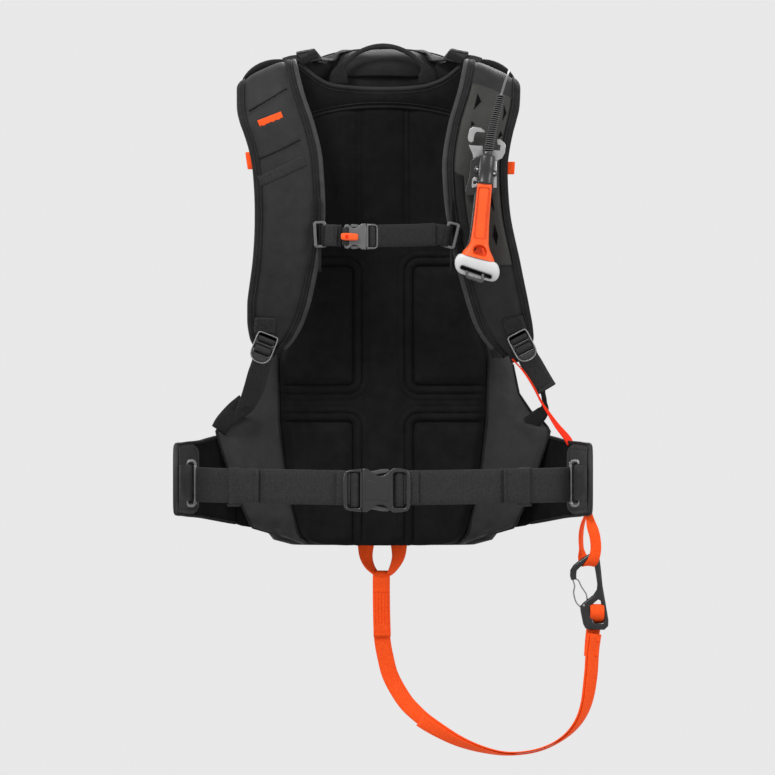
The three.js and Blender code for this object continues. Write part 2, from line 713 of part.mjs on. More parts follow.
function makeLegStrap() {
  const outline = [
    [-30, -250.5], [-9, -250.5], [-1.5, -271], [7, -250.5], [28, -250.5], [27, -262], [9, -282], [-11, -282],
    [-29, -262],
  ];
  const sewnEye = plate(roundedRectangle(-2, -288, 20, 22, 4), 26.5, 33.5);
  add("leg_strap_yoke", join(plate(outline, 29, 31), sewnEye), ORANGE_FABRIC);

  const route = LEG_ROUTE.map(([x, y, z]) => v(x, y, z));
  const steps = 44;
  const path = smooth(route, steps);
  const quarter = Math.PI / 2;
  const sides = path.map((point, i) => {
    const share = i / steps;
    const turned = THREE.MathUtils.smoothstep(share, 0.25, 0.5) - THREE.MathUtils.smoothstep(share, 0.62, 0.85);
    const turn = quarter * turned;
    const after = path[Math.min(i + 1, steps)];
    const before = path[Math.max(i - 1, 0)];
    const tangent = after.clone().sub(before).normalize();
    const flat = tangent.clone().cross(BACKWARD).normalize();
    return flat.applyAxisAngle(tangent, turn);
  });
  add("leg_strap", ribbon(path, LEG_WEBBING, WEBBING_THICKNESS, sides), ORANGE_FABRIC);
}

const CARABINER_Y = -90;
const CARABINER_HALF = 4;

function makeCarabiner() {
  const outside = [
    [209, -281], [208.5, -272], [216, -261.5], [229, -253.5], [237, -255], [240, -262], [243.5, -290], [250, -328],
    [250, -334], [246, -338.5], [227, -338.5], [222, -334], [218.5, -318], [218, -312],
  ];
  const inside = [
    [224, -311], [227, -303.5], [240, -303.5], [236.5, -285], [233, -266], [226, -262.5], [219, -268], [215, -281],
  ];
  const slot = [[230, -309], [241, -309], [244, -330], [233.5, -330]];
  const body = plate([...outside, ...inside], CARABINER_Y - CARABINER_HALF, CARABINER_Y + CARABINER_HALF, [slot]);
  add("carabiner", body, DARK_METAL);

  const tip = [211.9, -284.2];
  const heel = [220, -309.6];
  const wires = [-2.6, 2.6].map((offset) =>
    rod(v(heel[0], CARABINER_Y + offset, heel[1]), v(tip[0], CARABINER_Y + offset, tip[1]), 1.1, 8),
  );
  const noseBar = rod(v(tip[0], CARABINER_Y - 3.6, tip[1]), v(tip[0], CARABINER_Y + 3.6, tip[1]), 1.1, 8);
  add("carabiner_gate", join(...wires, noseBar), METAL);
}

function makeHipLoops() {
  const loopPath = smooth(
    [v(226, -99, -216), v(220.5, -101, -232), v(221, -100, -250), v(223.5, -98, -265), v(225.5, -90, -274),
      v(228, -83, -266), v(233, -81, -250), v(234, -83, -235), v(230, -91, -216)],
    28,
  );
  add("hip_loop", ribbon(loopPath, 11, 1.4, SIDEWAYS), ORANGE_FABRIC);
  const safetySpots = [v(146, -41, -39), v(164, -38, -65), v(178, -36, -89), v(192, -42, -108), v(207, -57, -123)];
  const safetyPath = smooth(safetySpots, 12);
  const safetySides = safetyPath.map((_, i) => v(0.3 + i * 0.03, 1, 0));
  add("safety_strap", ribbon(safetyPath, 8, 1.2, safetySides), ORANGE_FABRIC);
}

// ---- Zip slider on the front pocket ----
function makeZipSlider() {
  const x = 60;
  const faceY = BAG_FRONT_Y + BAG_DEPTH + 14 + GAP;
  const body = block(v(x - 5, faceY, 98), v(x + 5, faceY + 4, 112));
  const bridge = block(v(x - 1.5, faceY + 3, 96), v(x + 1.5, faceY + 6, 110));
  const tab = block(v(x - 4, faceY + 3.2, 66), v(x + 4, faceY + 5.2, 97));
  add("zip_slider", join(body, bridge, tab), DARK_METAL);
}

makeBag();
makeAirbag();
makeFan();
makeElectronics();
makeFrame();
makeBackPanel();
makeYoke();
makeWings();
makeShoulderStraps();
makeAdjusters();
makeLifters();
makeHaulLoop();
makeHipBelt();
makeChestStrap();
makeTriggerMount();
makeTriggerHandle();
makeTriggerCable();
makeLegStrap();
makeCarabiner();
makeHipLoops();
makeZipSlider();

export default pack;
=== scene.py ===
"""Avalanche airbag backpack: the visual model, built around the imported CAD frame.

Lengths are written in millimetres and turned into metres by at().
+X is right, -Y is the harness side, +Z is up, and the origin is on the back panel's spine.
"""

import math

import bmesh
import bpy
from mathutils import Matrix, Vector, noise


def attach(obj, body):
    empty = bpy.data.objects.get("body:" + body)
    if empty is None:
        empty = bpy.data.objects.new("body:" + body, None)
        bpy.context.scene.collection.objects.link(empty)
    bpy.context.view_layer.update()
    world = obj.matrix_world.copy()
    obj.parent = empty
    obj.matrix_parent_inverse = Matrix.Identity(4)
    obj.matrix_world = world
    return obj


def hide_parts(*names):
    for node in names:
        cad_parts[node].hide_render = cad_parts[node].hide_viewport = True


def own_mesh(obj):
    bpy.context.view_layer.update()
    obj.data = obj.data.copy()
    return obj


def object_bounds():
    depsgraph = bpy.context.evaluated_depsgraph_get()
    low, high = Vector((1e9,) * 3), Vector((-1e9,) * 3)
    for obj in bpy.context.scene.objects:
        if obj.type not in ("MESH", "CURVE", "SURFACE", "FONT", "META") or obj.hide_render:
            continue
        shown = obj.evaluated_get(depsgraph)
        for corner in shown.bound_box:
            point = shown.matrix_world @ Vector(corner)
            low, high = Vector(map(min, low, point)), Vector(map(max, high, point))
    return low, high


MM = 0.001
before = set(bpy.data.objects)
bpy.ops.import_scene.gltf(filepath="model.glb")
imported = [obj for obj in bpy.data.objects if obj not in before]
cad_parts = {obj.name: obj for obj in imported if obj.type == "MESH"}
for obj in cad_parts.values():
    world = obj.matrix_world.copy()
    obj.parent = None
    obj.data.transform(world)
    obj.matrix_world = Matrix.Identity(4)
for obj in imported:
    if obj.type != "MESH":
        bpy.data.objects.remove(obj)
cad_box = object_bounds()

X = Vector((1, 0, 0))
Y = Vector((0, 1, 0))
Z = Vector((0, 0, 1))
SIDES = ((-1, "left"), (1, "right"))


def at(x, y, z):
    return Vector((x, y, z)) * MM


# ---- Camera, light and stage ----
VIEW_WIDTH = 0.868
CAMERA_DISTANCE = 6.0
SENSOR = 36.0
AIM = at(5, -30, -70)
BACKDROP = (0.81, 0.81, 0.81)
FLOOR_COLOR = (0.47, 0.47, 0.47)
FLOOR_DROP = 0.45
FLOOR_RADIUS = 1.2
# name, place, size and power
LIGHTS = [
    ("key", (-1.6, -2.4, 3.0), 1.3, 105),
    ("right", (2.6, -1.8, 1.2), 1.4, 38),
    ("left_edge", (-2.8, 0.4, 0.6), 1.2, 30),
    ("back", (0.6, 2.8, 2.2), 1.6, 60),
]


def make_camera():
    data = bpy.data.cameras.new("camera")
    data.sensor_width = SENSOR
    data.lens = SENSOR * CAMERA_DISTANCE / VIEW_WIDTH
    data.clip_end = 50
    camera = bpy.data.objects.new("camera", data)
    bpy.context.collection.objects.link(camera)
    camera.location = AIM - Y * CAMERA_DISTANCE
    camera.rotation_euler = (math.pi / 2, 0, 0)
    bpy.context.scene.camera = camera


def make_light(name, place, size, power):
    """A disc light in metres and watts, facing the origin."""
    data = bpy.data.lights.new(name, "AREA")
    data.shape = "DISK"
    data.size = size
    data.energy = power
    lamp = bpy.data.objects.new(name, data)
    bpy.context.collection.objects.link(lamp)
    lamp.location = place
    lamp.rotation_euler = (-Vector(place)).to_track_quat("-Z", "Y").to_euler()


def make_stage():
    world = bpy.data.worlds.new("studio")
    world.use_nodes = True
    world.node_tree.nodes["Background"].inputs[0].default_value = (*BACKDROP, 1)
    bpy.context.scene.world = world
    bpy.context.scene.view_settings.view_transform = "Standard"
    for light in LIGHTS:
        make_light(*light)
    floor_z = cad_box[0][2] - FLOOR_DROP
    bpy.ops.mesh.primitive_circle_add(vertices=96, radius=FLOOR_RADIUS, fill_type="NGON",
                                      location=(0, 0, floor_z))
    floor = bpy.context.object
    floor.name = "floor"
    paint = bpy.data.materials.new("floor")
    paint.use_nodes = True
    shader = paint.node_tree.nodes["Principled BSDF"]
    shader.inputs["Base Color"].default_value = (*FLOOR_COLOR, 1)
    shader.inputs["Roughness"].default_value = 0.9
    floor.data.materials.append(paint)


# ---- Materials ----
class Look:
    """A Principled material with small helpers for its texture nodes."""

    def __init__(self, name, color, roughness, metallic=0.0, sheen=0.0, specular=0.5):
        self.material = bpy.data.materials.new(name)
        self.material.use_nodes = True
        self.tree = self.material.node_tree
        self.shader = self.tree.nodes["Principled BSDF"]
        self.set("Base Color", (*color, 1))
        self.set("Roughness", roughness)
        self.set("Metallic", metallic)
        self.set("Sheen Weight", sheen)
        self.set("Sheen Roughness", 0.45)
        self.set("Specular IOR Level", specular)
        self.height = None

    def set(self, socket, value):
        self.shader.inputs[socket].default_value = value

    def node(self, kind, **settings):
        made = self.tree.nodes.new(kind)
        for key, value in settings.items():
            if key[0].isupper():
                made.inputs[key.replace("_", " ")].default_value = value
            else:
                setattr(made, key, value)
        return made

    def link(self, out, into):
        self.tree.links.new(out, into)

    def coordinates(self, kind="Object"):
        return self.node("ShaderNodeTexCoord").outputs[kind]

    def noise(self, scale, detail=3.0, kind="Object", roughness=0.5):
        made = self.node("ShaderNodeTexNoise", Scale=scale, Detail=detail, Roughness=roughness)
        self.link(self.coordinates(kind), made.inputs["Vector"])
        return made.outputs["Fac"]

    def waves(self, scale, direction, kind="Object", distortion=0.0):
        made = self.node("ShaderNodeTexWave", bands_direction=direction, Scale=scale, Distortion=distortion)
        self.link(self.coordinates(kind), made.inputs["Vector"])
        return made.outputs["Fac"]

    def math(self, operation, first, second):
        made = self.node("ShaderNodeMath", operation=operation)
        for socket, value in zip(made.inputs, (first, second)):
            if isinstance(value, (int, float)):
                socket.default_value = value
            else:
                self.link(value, socket)
        return made.outputs[0]

    def vary_color(self, factor, dark, light):
        ramp = self.node("ShaderNodeValToRGB")
        ramp.color_ramp.elements[0].position = 0.3
        ramp.color_ramp.elements[0].color = (*dark, 1)
        ramp.color_ramp.elements[1].position = 0.7
        ramp.color_ramp.elements[1].color = (*light, 1)
        self.link(factor, ramp.inputs[0])
        self.link(ramp.outputs[0], self.shader.inputs["Base Color"])

    def vary_roughness(self, factor, low, high):
        spread = self.node("ShaderNodeMapRange", To_Min=low, To_Max=high)
        self.link(factor, spread.inputs[0])
        self.link(spread.outputs[0], self.shader.inputs["Roughness"])

    def bump(self, height, strength, distance):
        made = self.node("ShaderNodeBump", Strength=strength, Distance=distance)
        self.link(height, made.inputs["Height"])
        if self.height:
            self.link(self.height, made.inputs["Normal"])
        self.height = made.outputs[0]
        self.link(self.height, self.shader.inputs["Normal"])


def cloth_look(name, dark, light, roughness, sheen, pitch, specular=0.12, crease=0.0):
    """Woven cloth: a fine cross weave, mottled colour, and soft creases where asked for."""
    look = Look(name, light, roughness, sheen=sheen, specular=specular)
    weave = look.math("ADD", look.waves(math.pi / pitch / 20, "X"), look.waves(math.pi / pitch / 20, "Z"))
    grain = look.noise(900, 2)
    look.vary_color(look.noise(60, 5, roughness=0.7), dark, light)
    look.vary_roughness(look.noise(35, 4), roughness - 0.08, min(roughness + 0.08, 1))
    look.bump(weave, 0.25, 0.0002)
    look.bump(grain, 0.25, 0.0003)
    if crease:
        look.bump(look.noise(26, 3, roughness=0.45), crease, 0.004)
    return look.material


def webbing_look(name, dark, light, relief, roughness=0.75, sheen=0.05, specular=0.15):
    """Ribbed tape: fine ribs across it and rows along it, laid out by the tape's own UV map in metres."""
    look = Look(name, light, roughness, sheen=sheen, specular=specular)
    ribs = look.waves(WEBBING_RIBS, "Y", "UV")
    rows = look.waves(WEBBING_ROWS, "X", "UV", distortion=0.6)
    pattern = look.math("ADD", ribs, look.math("MULTIPLY", rows, 0.6))
    mottled = look.math("ADD", look.math("MULTIPLY", pattern, 0.2),
                        look.math("MULTIPLY", look.noise(420, 3), 0.75))
    look.vary_color(mottled, dark, light)
    look.bump(pattern, relief, 0.0003)
    look.bump(look.noise(500, 2), 0.2, 0.0003)
    return look.material


def plastic_look(name, color, roughness, specular=0.5, speckle=0.15):
    """Moulded plastic: an even colour with a fine spark-eroded grain and a little handling wear."""
    look = Look(name, color, roughness, specular=specular)
    darker = tuple(c * 0.85 for c in color)
    look.vary_color(look.noise(45, 4), darker, color)
    look.vary_roughness(look.noise(120, 4), roughness - 0.06, roughness + 0.1)
    look.bump(look.noise(1500, 2), speckle, 0.0002)
    return look.material


def metal_look(name, color, roughness):
    look = Look(name, color, roughness, metallic=1.0)
    darker = tuple(c * 0.8 for c in color)
    look.vary_color(look.noise(80, 4), darker, color)
    look.vary_roughness(look.noise(200, 5), roughness - 0.07, roughness + 0.12)
    look.bump(look.noise(700, 3), 0.08, 0.0002)
    return look.material


def grey(value):
    return (value, value, value * 1.01)


WEBBING_RIBS = 205
WEBBING_ROWS = 175
ORANGE = (0.86, 0.088, 0.010)
ORANGE_DEEP = (0.74, 0.055, 0.006)
RED = (0.84, 0.028, 0.006)
RED_DEEP = (0.62, 0.016, 0.004)

LOOKS = {}

# dark, light, roughness, sheen, pitch, specular, crease
CLOTHS = {
    "bag_fabric": (grey(0.008), grey(0.014), 0.75, 0.02, 0.8, 0.12, 0.25),
    "strap_fabric": (grey(0.0138), grey(0.0215), 0.62, 0.03, 0.7, 0.16, 0.22),
    "lid_fabric": (grey(0.008), grey(0.014), 0.62, 0.02, 0.7, 0.12, 0.3),
    "yoke_fabric": (grey(0.005), grey(0.009), 0.85, 0.01, 0.8, 0.06, 0.12),
    "back_foam": (grey(0.0055), grey(0.0095), 0.95, 0.02, 1.1, 0.06, 0.12),
    "stretch_fabric": (grey(0.019), grey(0.028), 0.66, 0.03, 0.6, 0.14, 0.12),
    "fin_fabric": (grey(0.0035), grey(0.007), 0.9, 0.01, 0.9, 0.06, 0.2),
    "patch_fabric": (grey(0.024), grey(0.034), 0.6, 0.03, 0.7, 0.15),
    "panel_fabric": ((0.027, 0.0275, 0.0255), (0.037, 0.0378, 0.035), 0.55, 0.02, 0.7, 0.16),
    "binding": (grey(0.006), grey(0.012), 0.7, 0.03, 0.6),
    "piping": (grey(0.026), grey(0.040), 0.6, 0.04, 0.6, 0.18),
    "thread": (grey(0.022), grey(0.042), 0.7, 0.05, 0.3),
    "orange_thread": (ORANGE_DEEP, ORANGE, 0.7, 0.0, 0.3),
}

# dark, light, relief, roughness, sheen, specular
WEBBINGS = {
    "webbing": (grey(0.014), grey(0.027), 0.35),
    "chest_fabric": (grey(0.0105), grey(0.019), 0.35),
    "dark_webbing": (grey(0.006), grey(0.013), 0.35),
    "orange_webbing": (ORANGE_DEEP, ORANGE, 0.1, 0.7, 0.0, 0.12),
    "red_webbing": (RED_DEEP, RED, 0.1, 0.6, 0.0, 0.12),
}

# color, roughness, specular, speckle
PLASTICS = {
    # deeper orange used only as painted shade, in the grip's scoop and round its recess
    "orange_painted_shade": (ORANGE_DEEP, 0.5, 0.25),
    "coil_plastic": (grey(0.085), 0.4, 0.4),
    "print_orange": (ORANGE, 0.55, 0.2),
    "moulded_plastic": (grey(0.0105), 0.3, 0.55, 0.08),
    "mid_plastic": (grey(0.05), 0.32, 0.5, 0.08),
    # near-black matte fill for slots, holes and hollow insides: painted shade where light does not reach
    "hollow_shade_black": (grey(0.003), 0.9, 0.05),
    "grey_plastic": (grey(0.105), 0.3, 0.55),
    "orange_plastic": ((0.86, 0.10, 0.014), 0.45, 0.3),
    "white_plastic": (grey(0.58), 0.4, 0.4),
}

# color, roughness
METALS = {
    "bright_metal": (grey(0.50), 0.34),
    "bar_metal": (grey(0.27), 0.46),
    "dark_metal": (grey(0.055), 0.3),
}

for build, table in ((cloth_look, CLOTHS), (webbing_look, WEBBINGS), (plastic_look, PLASTICS),
                     (metal_look, METALS)):
    for name, values in table.items():
        LOOKS[name] = build(name, *values)


# ---- Mesh helpers ----
def mesh_object(name, points, faces, look, uvs=None, subdivide=0, thickness=0.0):
    mesh = bpy.data.meshes.new(name)
    mesh.from_pydata([tuple(p) for p in points], [], faces)
    made = bpy.data.objects.new(name, mesh)
    bpy.context.collection.objects.link(made)
    mesh.materials.append(LOOKS[look])
    if uvs:
        layer = mesh.uv_layers.new(name="tape")
        for loop in mesh.loops:
            layer.data[loop.index].uv = uvs[loop.vertex_index]
    tidy = bmesh.new()
    tidy.from_mesh(mesh)
    bmesh.ops.recalc_face_normals(tidy, faces=tidy.faces)
    tidy.to_mesh(mesh)
    tidy.free()
    mesh.shade_smooth()
    if thickness:
        shell = made.modifiers.new("shell", "SOLIDIFY")
        shell.thickness = thickness
        shell.offset = 0
    if subdivide:
        finer = made.modifiers.new("finer", "SUBSURF")
        finer.levels = finer.render_levels = subdivide
    if thickness or subdivide:
        settle(made)
    return made


def settle(made):
    """Applies every modifier, so the mesh is the final shape."""
    depsgraph = bpy.context.evaluated_depsgraph_get()
    final = bpy.data.meshes.new_from_object(made.evaluated_get(depsgraph))
    made.modifiers.clear()
    made.data = final


def merge(name, pieces):
    """Joins several pieces into one object."""
    bpy.ops.object.select_all(action="DESELECT")
    for piece in pieces:
        piece.select_set(True)
    bpy.context.view_layer.objects.active = pieces[0]
    bpy.ops.object.join()
    pieces[0].name = name
    return pieces[0]


def wear(piece, body, slot, *nodes):
    """Says which body a piece rides on and which CAD nodes it stands for; the slot argument, meant for its
    finish, is not used.
    """
    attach(piece, body)
    if nodes:
        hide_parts(*nodes)
    return piece


def grid_faces(rows, columns, wrap=False):
    faces = []
    for r in range(rows - 1):
        for c in range(columns if wrap else columns - 1):
            d = (c + 1) % columns
            faces.append((r * columns + c, r * columns + d, (r + 1) * columns + d, (r + 1) * columns + c))
    return faces


def loft(name, rings, look, subdivide=0, uvs=None):
    """A closed skin through rings of equal point count, with both ends capped."""
    columns = len(rings[0])
    points = [p for ring in rings for p in ring]
    faces = grid_faces(len(rings), columns, wrap=True)
    faces.append(tuple(range(columns))[::-1])
    last = (len(rings) - 1) * columns
    faces.append(tuple(range(last, last + columns)))
    return mesh_object(name, points, faces, look, uvs, subdivide)


def sheet_grid(name, rows, look, thickness=0.0):
    """An open surface through rows of equal point count."""
    points = [p for row in rows for p in row]
    return mesh_object(name, points, grid_faces(len(rows), len(rows[0])), look, thickness=thickness)


def spline(points, count):
    """Evenly spaced points along a smooth curve through the given points."""
    ends = [points[0] * 2 - points[1], *points, points[-1] * 2 - points[-2]]
    dense = []
    steps = 16
    for a, b, c, d in zip(ends, ends[1:], ends[2:], ends[3:]):
        for i in range(steps):
            t = i / steps
            square = (2 * a - 5 * b + 4 * c - d) * t * t
            cube = (3 * b - a - 3 * c + d) * t**3
            dense.append(0.5 * (2 * b + (c - a) * t + square + cube))
    dense.append(points[-1].copy())
    return even(dense, count)


def curve(spots, count, reach=1):
    """A smooth line through X, Y, Z spots in millimetres, with each X multiplied by reach."""
    return spline([at(reach * x, y, z) for x, y, z in spots], count)


def runs_along(points):
    """The length run from the first point to each point."""
    runs = [0.0]
    for a, b in zip(points, points[1:]):
        runs.append(runs[-1] + (b - a).length)
    return runs


def even(points, count):
    lengths = runs_along(points)
    placed = []
    k = 0
    for i in range(count):
        want = lengths[-1] * i / (count - 1)
        while k < len(points) - 2 and lengths[k + 1] < want:
            k += 1
        span = lengths[k + 1] - lengths[k]
        share = min(max((want - lengths[k]) / span, 0), 1) if span else 0
        placed.append(points[k].lerp(points[k + 1], share))
    return placed


def path_length(points):
    return runs_along(points)[-1]


def station_runs(path, keys):
    """How far along the path each key point lies."""
    runs = runs_along(path)
    return [runs[min(range(len(path)), key=lambda i: (path[i] - key).length)] for key in keys]


def tangent_at(path, i):
    return (path[min(i + 1, len(path) - 1)] - path[max(i - 1, 0)]).normalized()


def lerp_list(stations, share):
    """Reads a list of equal-length tuples at a share from 0 to 1 of the way along it."""
    spot = share * (len(stations) - 1)
    k = min(int(spot), len(stations) - 2)
    t = spot - k
    return [a + (b - a) * t for a, b in zip(stations[k], stations[k + 1])]


def interpolate(table, value):
    """Piecewise straight reading of sorted (key, result) pairs."""
    if value <= table[0][0]:
        return table[0][1]
    for (k0, r0), (k1, r1) in zip(table, table[1:]):
        if value <= k1:
            return r0 + (r1 - r0) * (value - k0) / (k1 - k0)
    return table[-1][1]


def smoothstep(low, high, value):
    t = min(max((value - low) / (high - low), 0), 1)
    return t * t * (3 - 2 * t)


def ribbon(name, path, width, thickness, side, look, crown=0.0):
    """Flat webbing along a path, with softened edges. Width and side may be functions of 0 to 1."""
    rings = []
    uvs = []
    run = 0.0
    profile = [(-1, 0), (-0.94, 0.8), (-0.5, 1), (0, 1), (0.5, 1), (0.94, 0.8),
               (1, 0), (0.94, -0.8), (0.5, -1), (0, -1), (-0.5, -1), (-0.94, -0.8)]
    for i, point in enumerate(path):
        share = i / (len(path) - 1)
        tangent = tangent_at(path, i)
        wide = side(share) if callable(side) else side.copy()
        wide = (wide - tangent * wide.dot(tangent)).normalized()
        thick = tangent.cross(wide).normalized()
        half = (width(share) if callable(width) else width) / 2
        if i:
            run += (point - path[i - 1]).length
        rings.append(
            [point + wide * half * a + thick * (thickness / 2 * b + crown * (1 - a * a)) for a, b in profile]
        )
        uvs.extend([(half * a + half, run) for a, _ in profile])
    return loft(name, rings, look, uvs=uvs)


def tube(name, path, radius, look, sides=10):
    rings = []
    normal = None
    for i, point in enumerate(path):
        tangent = tangent_at(path, i)
        if normal is None:
            normal = tangent.orthogonal().normalized()
        normal = (normal - tangent * normal.dot(tangent)).normalized()
        other = tangent.cross(normal)
        size = radius(i / (len(path) - 1)) if callable(radius) else radius
        rings.append([
            point + (normal * math.cos(a) + other * math.sin(a)) * size
            for a in (2 * math.pi * k / sides for k in range(sides))
        ])
    return loft(name, rings, look)


STITCH_PITCH = 2.7 * MM
STITCH_LENGTH = 1.9 * MM
STITCH_RADIUS = 0.34 * MM


def stitches(name, paths, look="thread", pitch=STITCH_PITCH, length=STITCH_LENGTH, radius=STITCH_RADIUS):
    """Rows of short thread dashes along the given paths, as one object."""
    points = []
    faces = []
    for path in paths:
        count = max(int(path_length(path) / pitch), 2)
        spots = even(path, count + 1)
        for a, b in zip(spots, spots[1:]):
            middle = (a + b) / 2
            along = (b - a).normalized()
            up = along.orthogonal().normalized()
            across = along.cross(up)
            base = len(points)
            for shift, size in ((-0.5, 0.45), (-0.28, 1), (0.28, 1), (0.5, 0.45)):
                for k in range(5):
                    angle = 2 * math.pi * k / 5
                    spread = (up * math.cos(angle) + across * math.sin(angle)) * radius * size
                    points.append(middle + along * length * shift + spread)
            faces.extend(tuple(base + i for i in face) for face in grid_faces(4, 5, wrap=True))
            faces.append(tuple(base + i for i in (4, 3, 2, 1, 0)))
            faces.append(tuple(base + 15 + i for i in range(5)))
    return mesh_object(name, points, faces, look)


def plate(name, outline, low_y, high_y, look, holes=(), bevel=0.8, turn=None, move=None):
    """An outline in X and Z with holes, given thickness along Y and rounded edges. Lengths in millimetres."""
    curve = bpy.data.curves.new(name, "CURVE")
    curve.dimensions = "2D"
    curve.fill_mode = "BOTH"
    rounding = bevel * MM
    for loop in (outline, *holes):
        line = curve.splines.new("POLY")
        line.points.add(len(loop) - 1)
        for spot, (x, z) in zip(line.points, loop):
            spot.co = (x * MM, z * MM, 0, 1)
        line.use_cyclic_u = True
    curve.extrude = max((high_y - low_y) * MM / 2 - rounding, 0.00005)
    curve.bevel_depth = rounding
    curve.bevel_resolution = 3
    curve.offset = -rounding
    made = bpy.data.objects.new(name, curve)
    bpy.context.collection.objects.link(made)
    depsgraph = bpy.context.evaluated_depsgraph_get()
    mesh = bpy.data.meshes.new_from_object(made.evaluated_get(depsgraph))
    bpy.data.objects.remove(made)
    mesh.materials.clear()
    mesh.materials.append(LOOKS[look])
    mesh.transform(Matrix.Rotation(math.pi / 2, 4, "X"))
    mesh.transform(Matrix.Translation((0, (low_y + high_y) / 2 * MM, 0)))
    if turn is not None:
        mesh.transform(turn)
    if move is not None:
        mesh.transform(Matrix.Translation(move))
    solid = bmesh.new()
    solid.from_mesh(mesh)
    bmesh.ops.remove_doubles(solid, verts=solid.verts, dist=0.00002)
    bmesh.ops.recalc_face_normals(solid, faces=solid.faces)
    solid.to_mesh(mesh)
    solid.free()
    mesh.shade_smooth()
    mesh.set_sharp_from_angle(angle=math.radians(50))
    placed = bpy.data.objects.new(name, mesh)
    bpy.context.collection.objects.link(placed)
    return placed


def rounded_rectangle(cx, cz, width, height, radius, steps=5):
    points = []
    for sx, sz, quarter in ((1, 1, 0), (-1, 1, 1), (-1, -1, 2), (1, -1, 3)):
        for i in range(steps + 1):
            angle = (quarter + i / steps) * math.pi / 2
            points.append((
                cx + sx * (width / 2 - radius) + radius * math.cos(angle),
                cz + sz * (height / 2 - radius) + radius * math.sin(angle),
            ))
    return points


def signed_power(value, power):
    return math.copysign(abs(value) ** (2 / power), value)


def superellipse(centre, wide, high, half_wide, half_high, power, count):
    ring = []
    for i in range(count):
        angle = 2 * math.pi * i / count
        along = signed_power(math.cos(angle), power) * half_wide
        up = signed_power(math.sin(angle), power) * half_high
        ring.append(centre + wide * along + high * up)
    return ring


def ripple(point, size, seed=0.0):
    """Smooth noise from -1 to 1 over a length in millimetres."""
    return noise.noise(point / (size * MM) + Vector((seed, seed * 1.7, seed * 0.6)))


# ---- Bag ----
BAG_FACE_Y = 22
BAG_SECTIONS = [
    (-248, 106, 112), (-243, 126, 138), (-228, 138, 156), (-190, 143, 166), (-120, 145, 171), (-40, 145, 172),
    (50, 144, 171), (120, 142, 167), (180, 138, 160), (230, 130, 148), (262, 118, 134), (282, 102, 116),
    (294, 80, 90),
]
BAG_POWER = 4.6


def bag_ring(share, count):
    z, half, depth = lerp_list(BAG_SECTIONS, share)
    centre = at(0, BAG_FACE_Y + depth / 2, z)
    return superellipse(centre, X, Y, half * MM, depth / 2 * MM, BAG_POWER, count)


def bag_size(z):
    """The bag's half width and depth at a height."""
    keys = [(section[0], i / (len(BAG_SECTIONS) - 1)) for i, section in enumerate(BAG_SECTIONS)]
    _, half, depth = lerp_list(BAG_SECTIONS, interpolate(keys, z))
    return half, depth


def bag_surface(angle, z, lift=0.0):
    """The bag's outer point at an angle round it (0 is +X, 90 degrees is the far side) and a height."""
    half, depth = bag_size(z)
    along = signed_power(math.cos(angle), BAG_POWER) * (half + lift)
    back = signed_power(math.sin(angle), BAG_POWER) * (depth / 2 + lift)
    return at(along, BAG_FACE_Y + depth / 2 + back, z)


def bag_at(x, z, lift=0.0):
    """The point on the bag's far side at a given X and height."""
    half, depth = bag_size(z)
    back = (1 - min(abs(x) / (half + lift), 0.999) ** BAG_POWER) ** (1 / BAG_POWER) * (depth / 2 + lift)
    return at(x, BAG_FACE_Y + depth / 2 + back, z)


def make_bag():
    count = 120
    rows = 110
    rings = []
    for i in range(rows):
        ring = bag_ring(i / (rows - 1), count)
        middle = sum(ring, Vector()) / count
        worn = []
        for p in ring:
            outward = (p - middle).normalized()
            sag = ripple(p, 85, 2.0) * 1.6 + ripple(p, 30, 5.0) * 0.7
            front = smoothstep(30, 60, p.y / MM)
            worn.append(p + outward * (sag - 1.2) * front * MM)
        rings.append(worn)
    bag = loft("bag_shell", rings, "bag_fabric")
    wear(bag, "bag", "bag_fabric", "main_bag")

    seams = []
    threads = []
    for side in (0, math.pi):
        for seam_turn in (0.62, -0.5):
            for lines, turn in ((seams, seam_turn), (threads, seam_turn * 0.94)):
                angle = side + (turn if side == 0 else -turn)
                lines.append([bag_surface(angle, z, 0.3) for z in range(-236, 270, 6)])
    rolls = [tube("seam", path, 1.5 * MM, "binding", 8) for path in seams]
    wear(merge("bag_side_piping", rolls), "bag", "bag_fabric")
    wear(stitches("bag_side_stitching", threads), "bag", "webbing")


POCKET = {"half": 97, "low": -196, "high": 160, "corner": 34, "rise": 11}


def rounded_distance(x, z, cx, cz, half_x, half_z, corner):
    """Signed distance to a rectangle with round corners; negative inside."""
    dx = abs(x - cx) - (half_x - corner)
    dz = abs(z - cz) - (half_z - corner)
    outside = math.hypot(max(dx, 0), max(dz, 0))
    return outside + min(max(dx, dz), 0) - corner


def pocket_outline(inset):
    half = POCKET["half"] - inset
    tall = (POCKET["high"] - POCKET["low"]) / 2 - inset
    middle = (POCKET["high"] + POCKET["low"]) / 2
    loop = rounded_rectangle(0, middle, 2 * half, 2 * tall, max(POCKET["corner"] - inset, 4), 10)
    return [*loop, loop[0]]


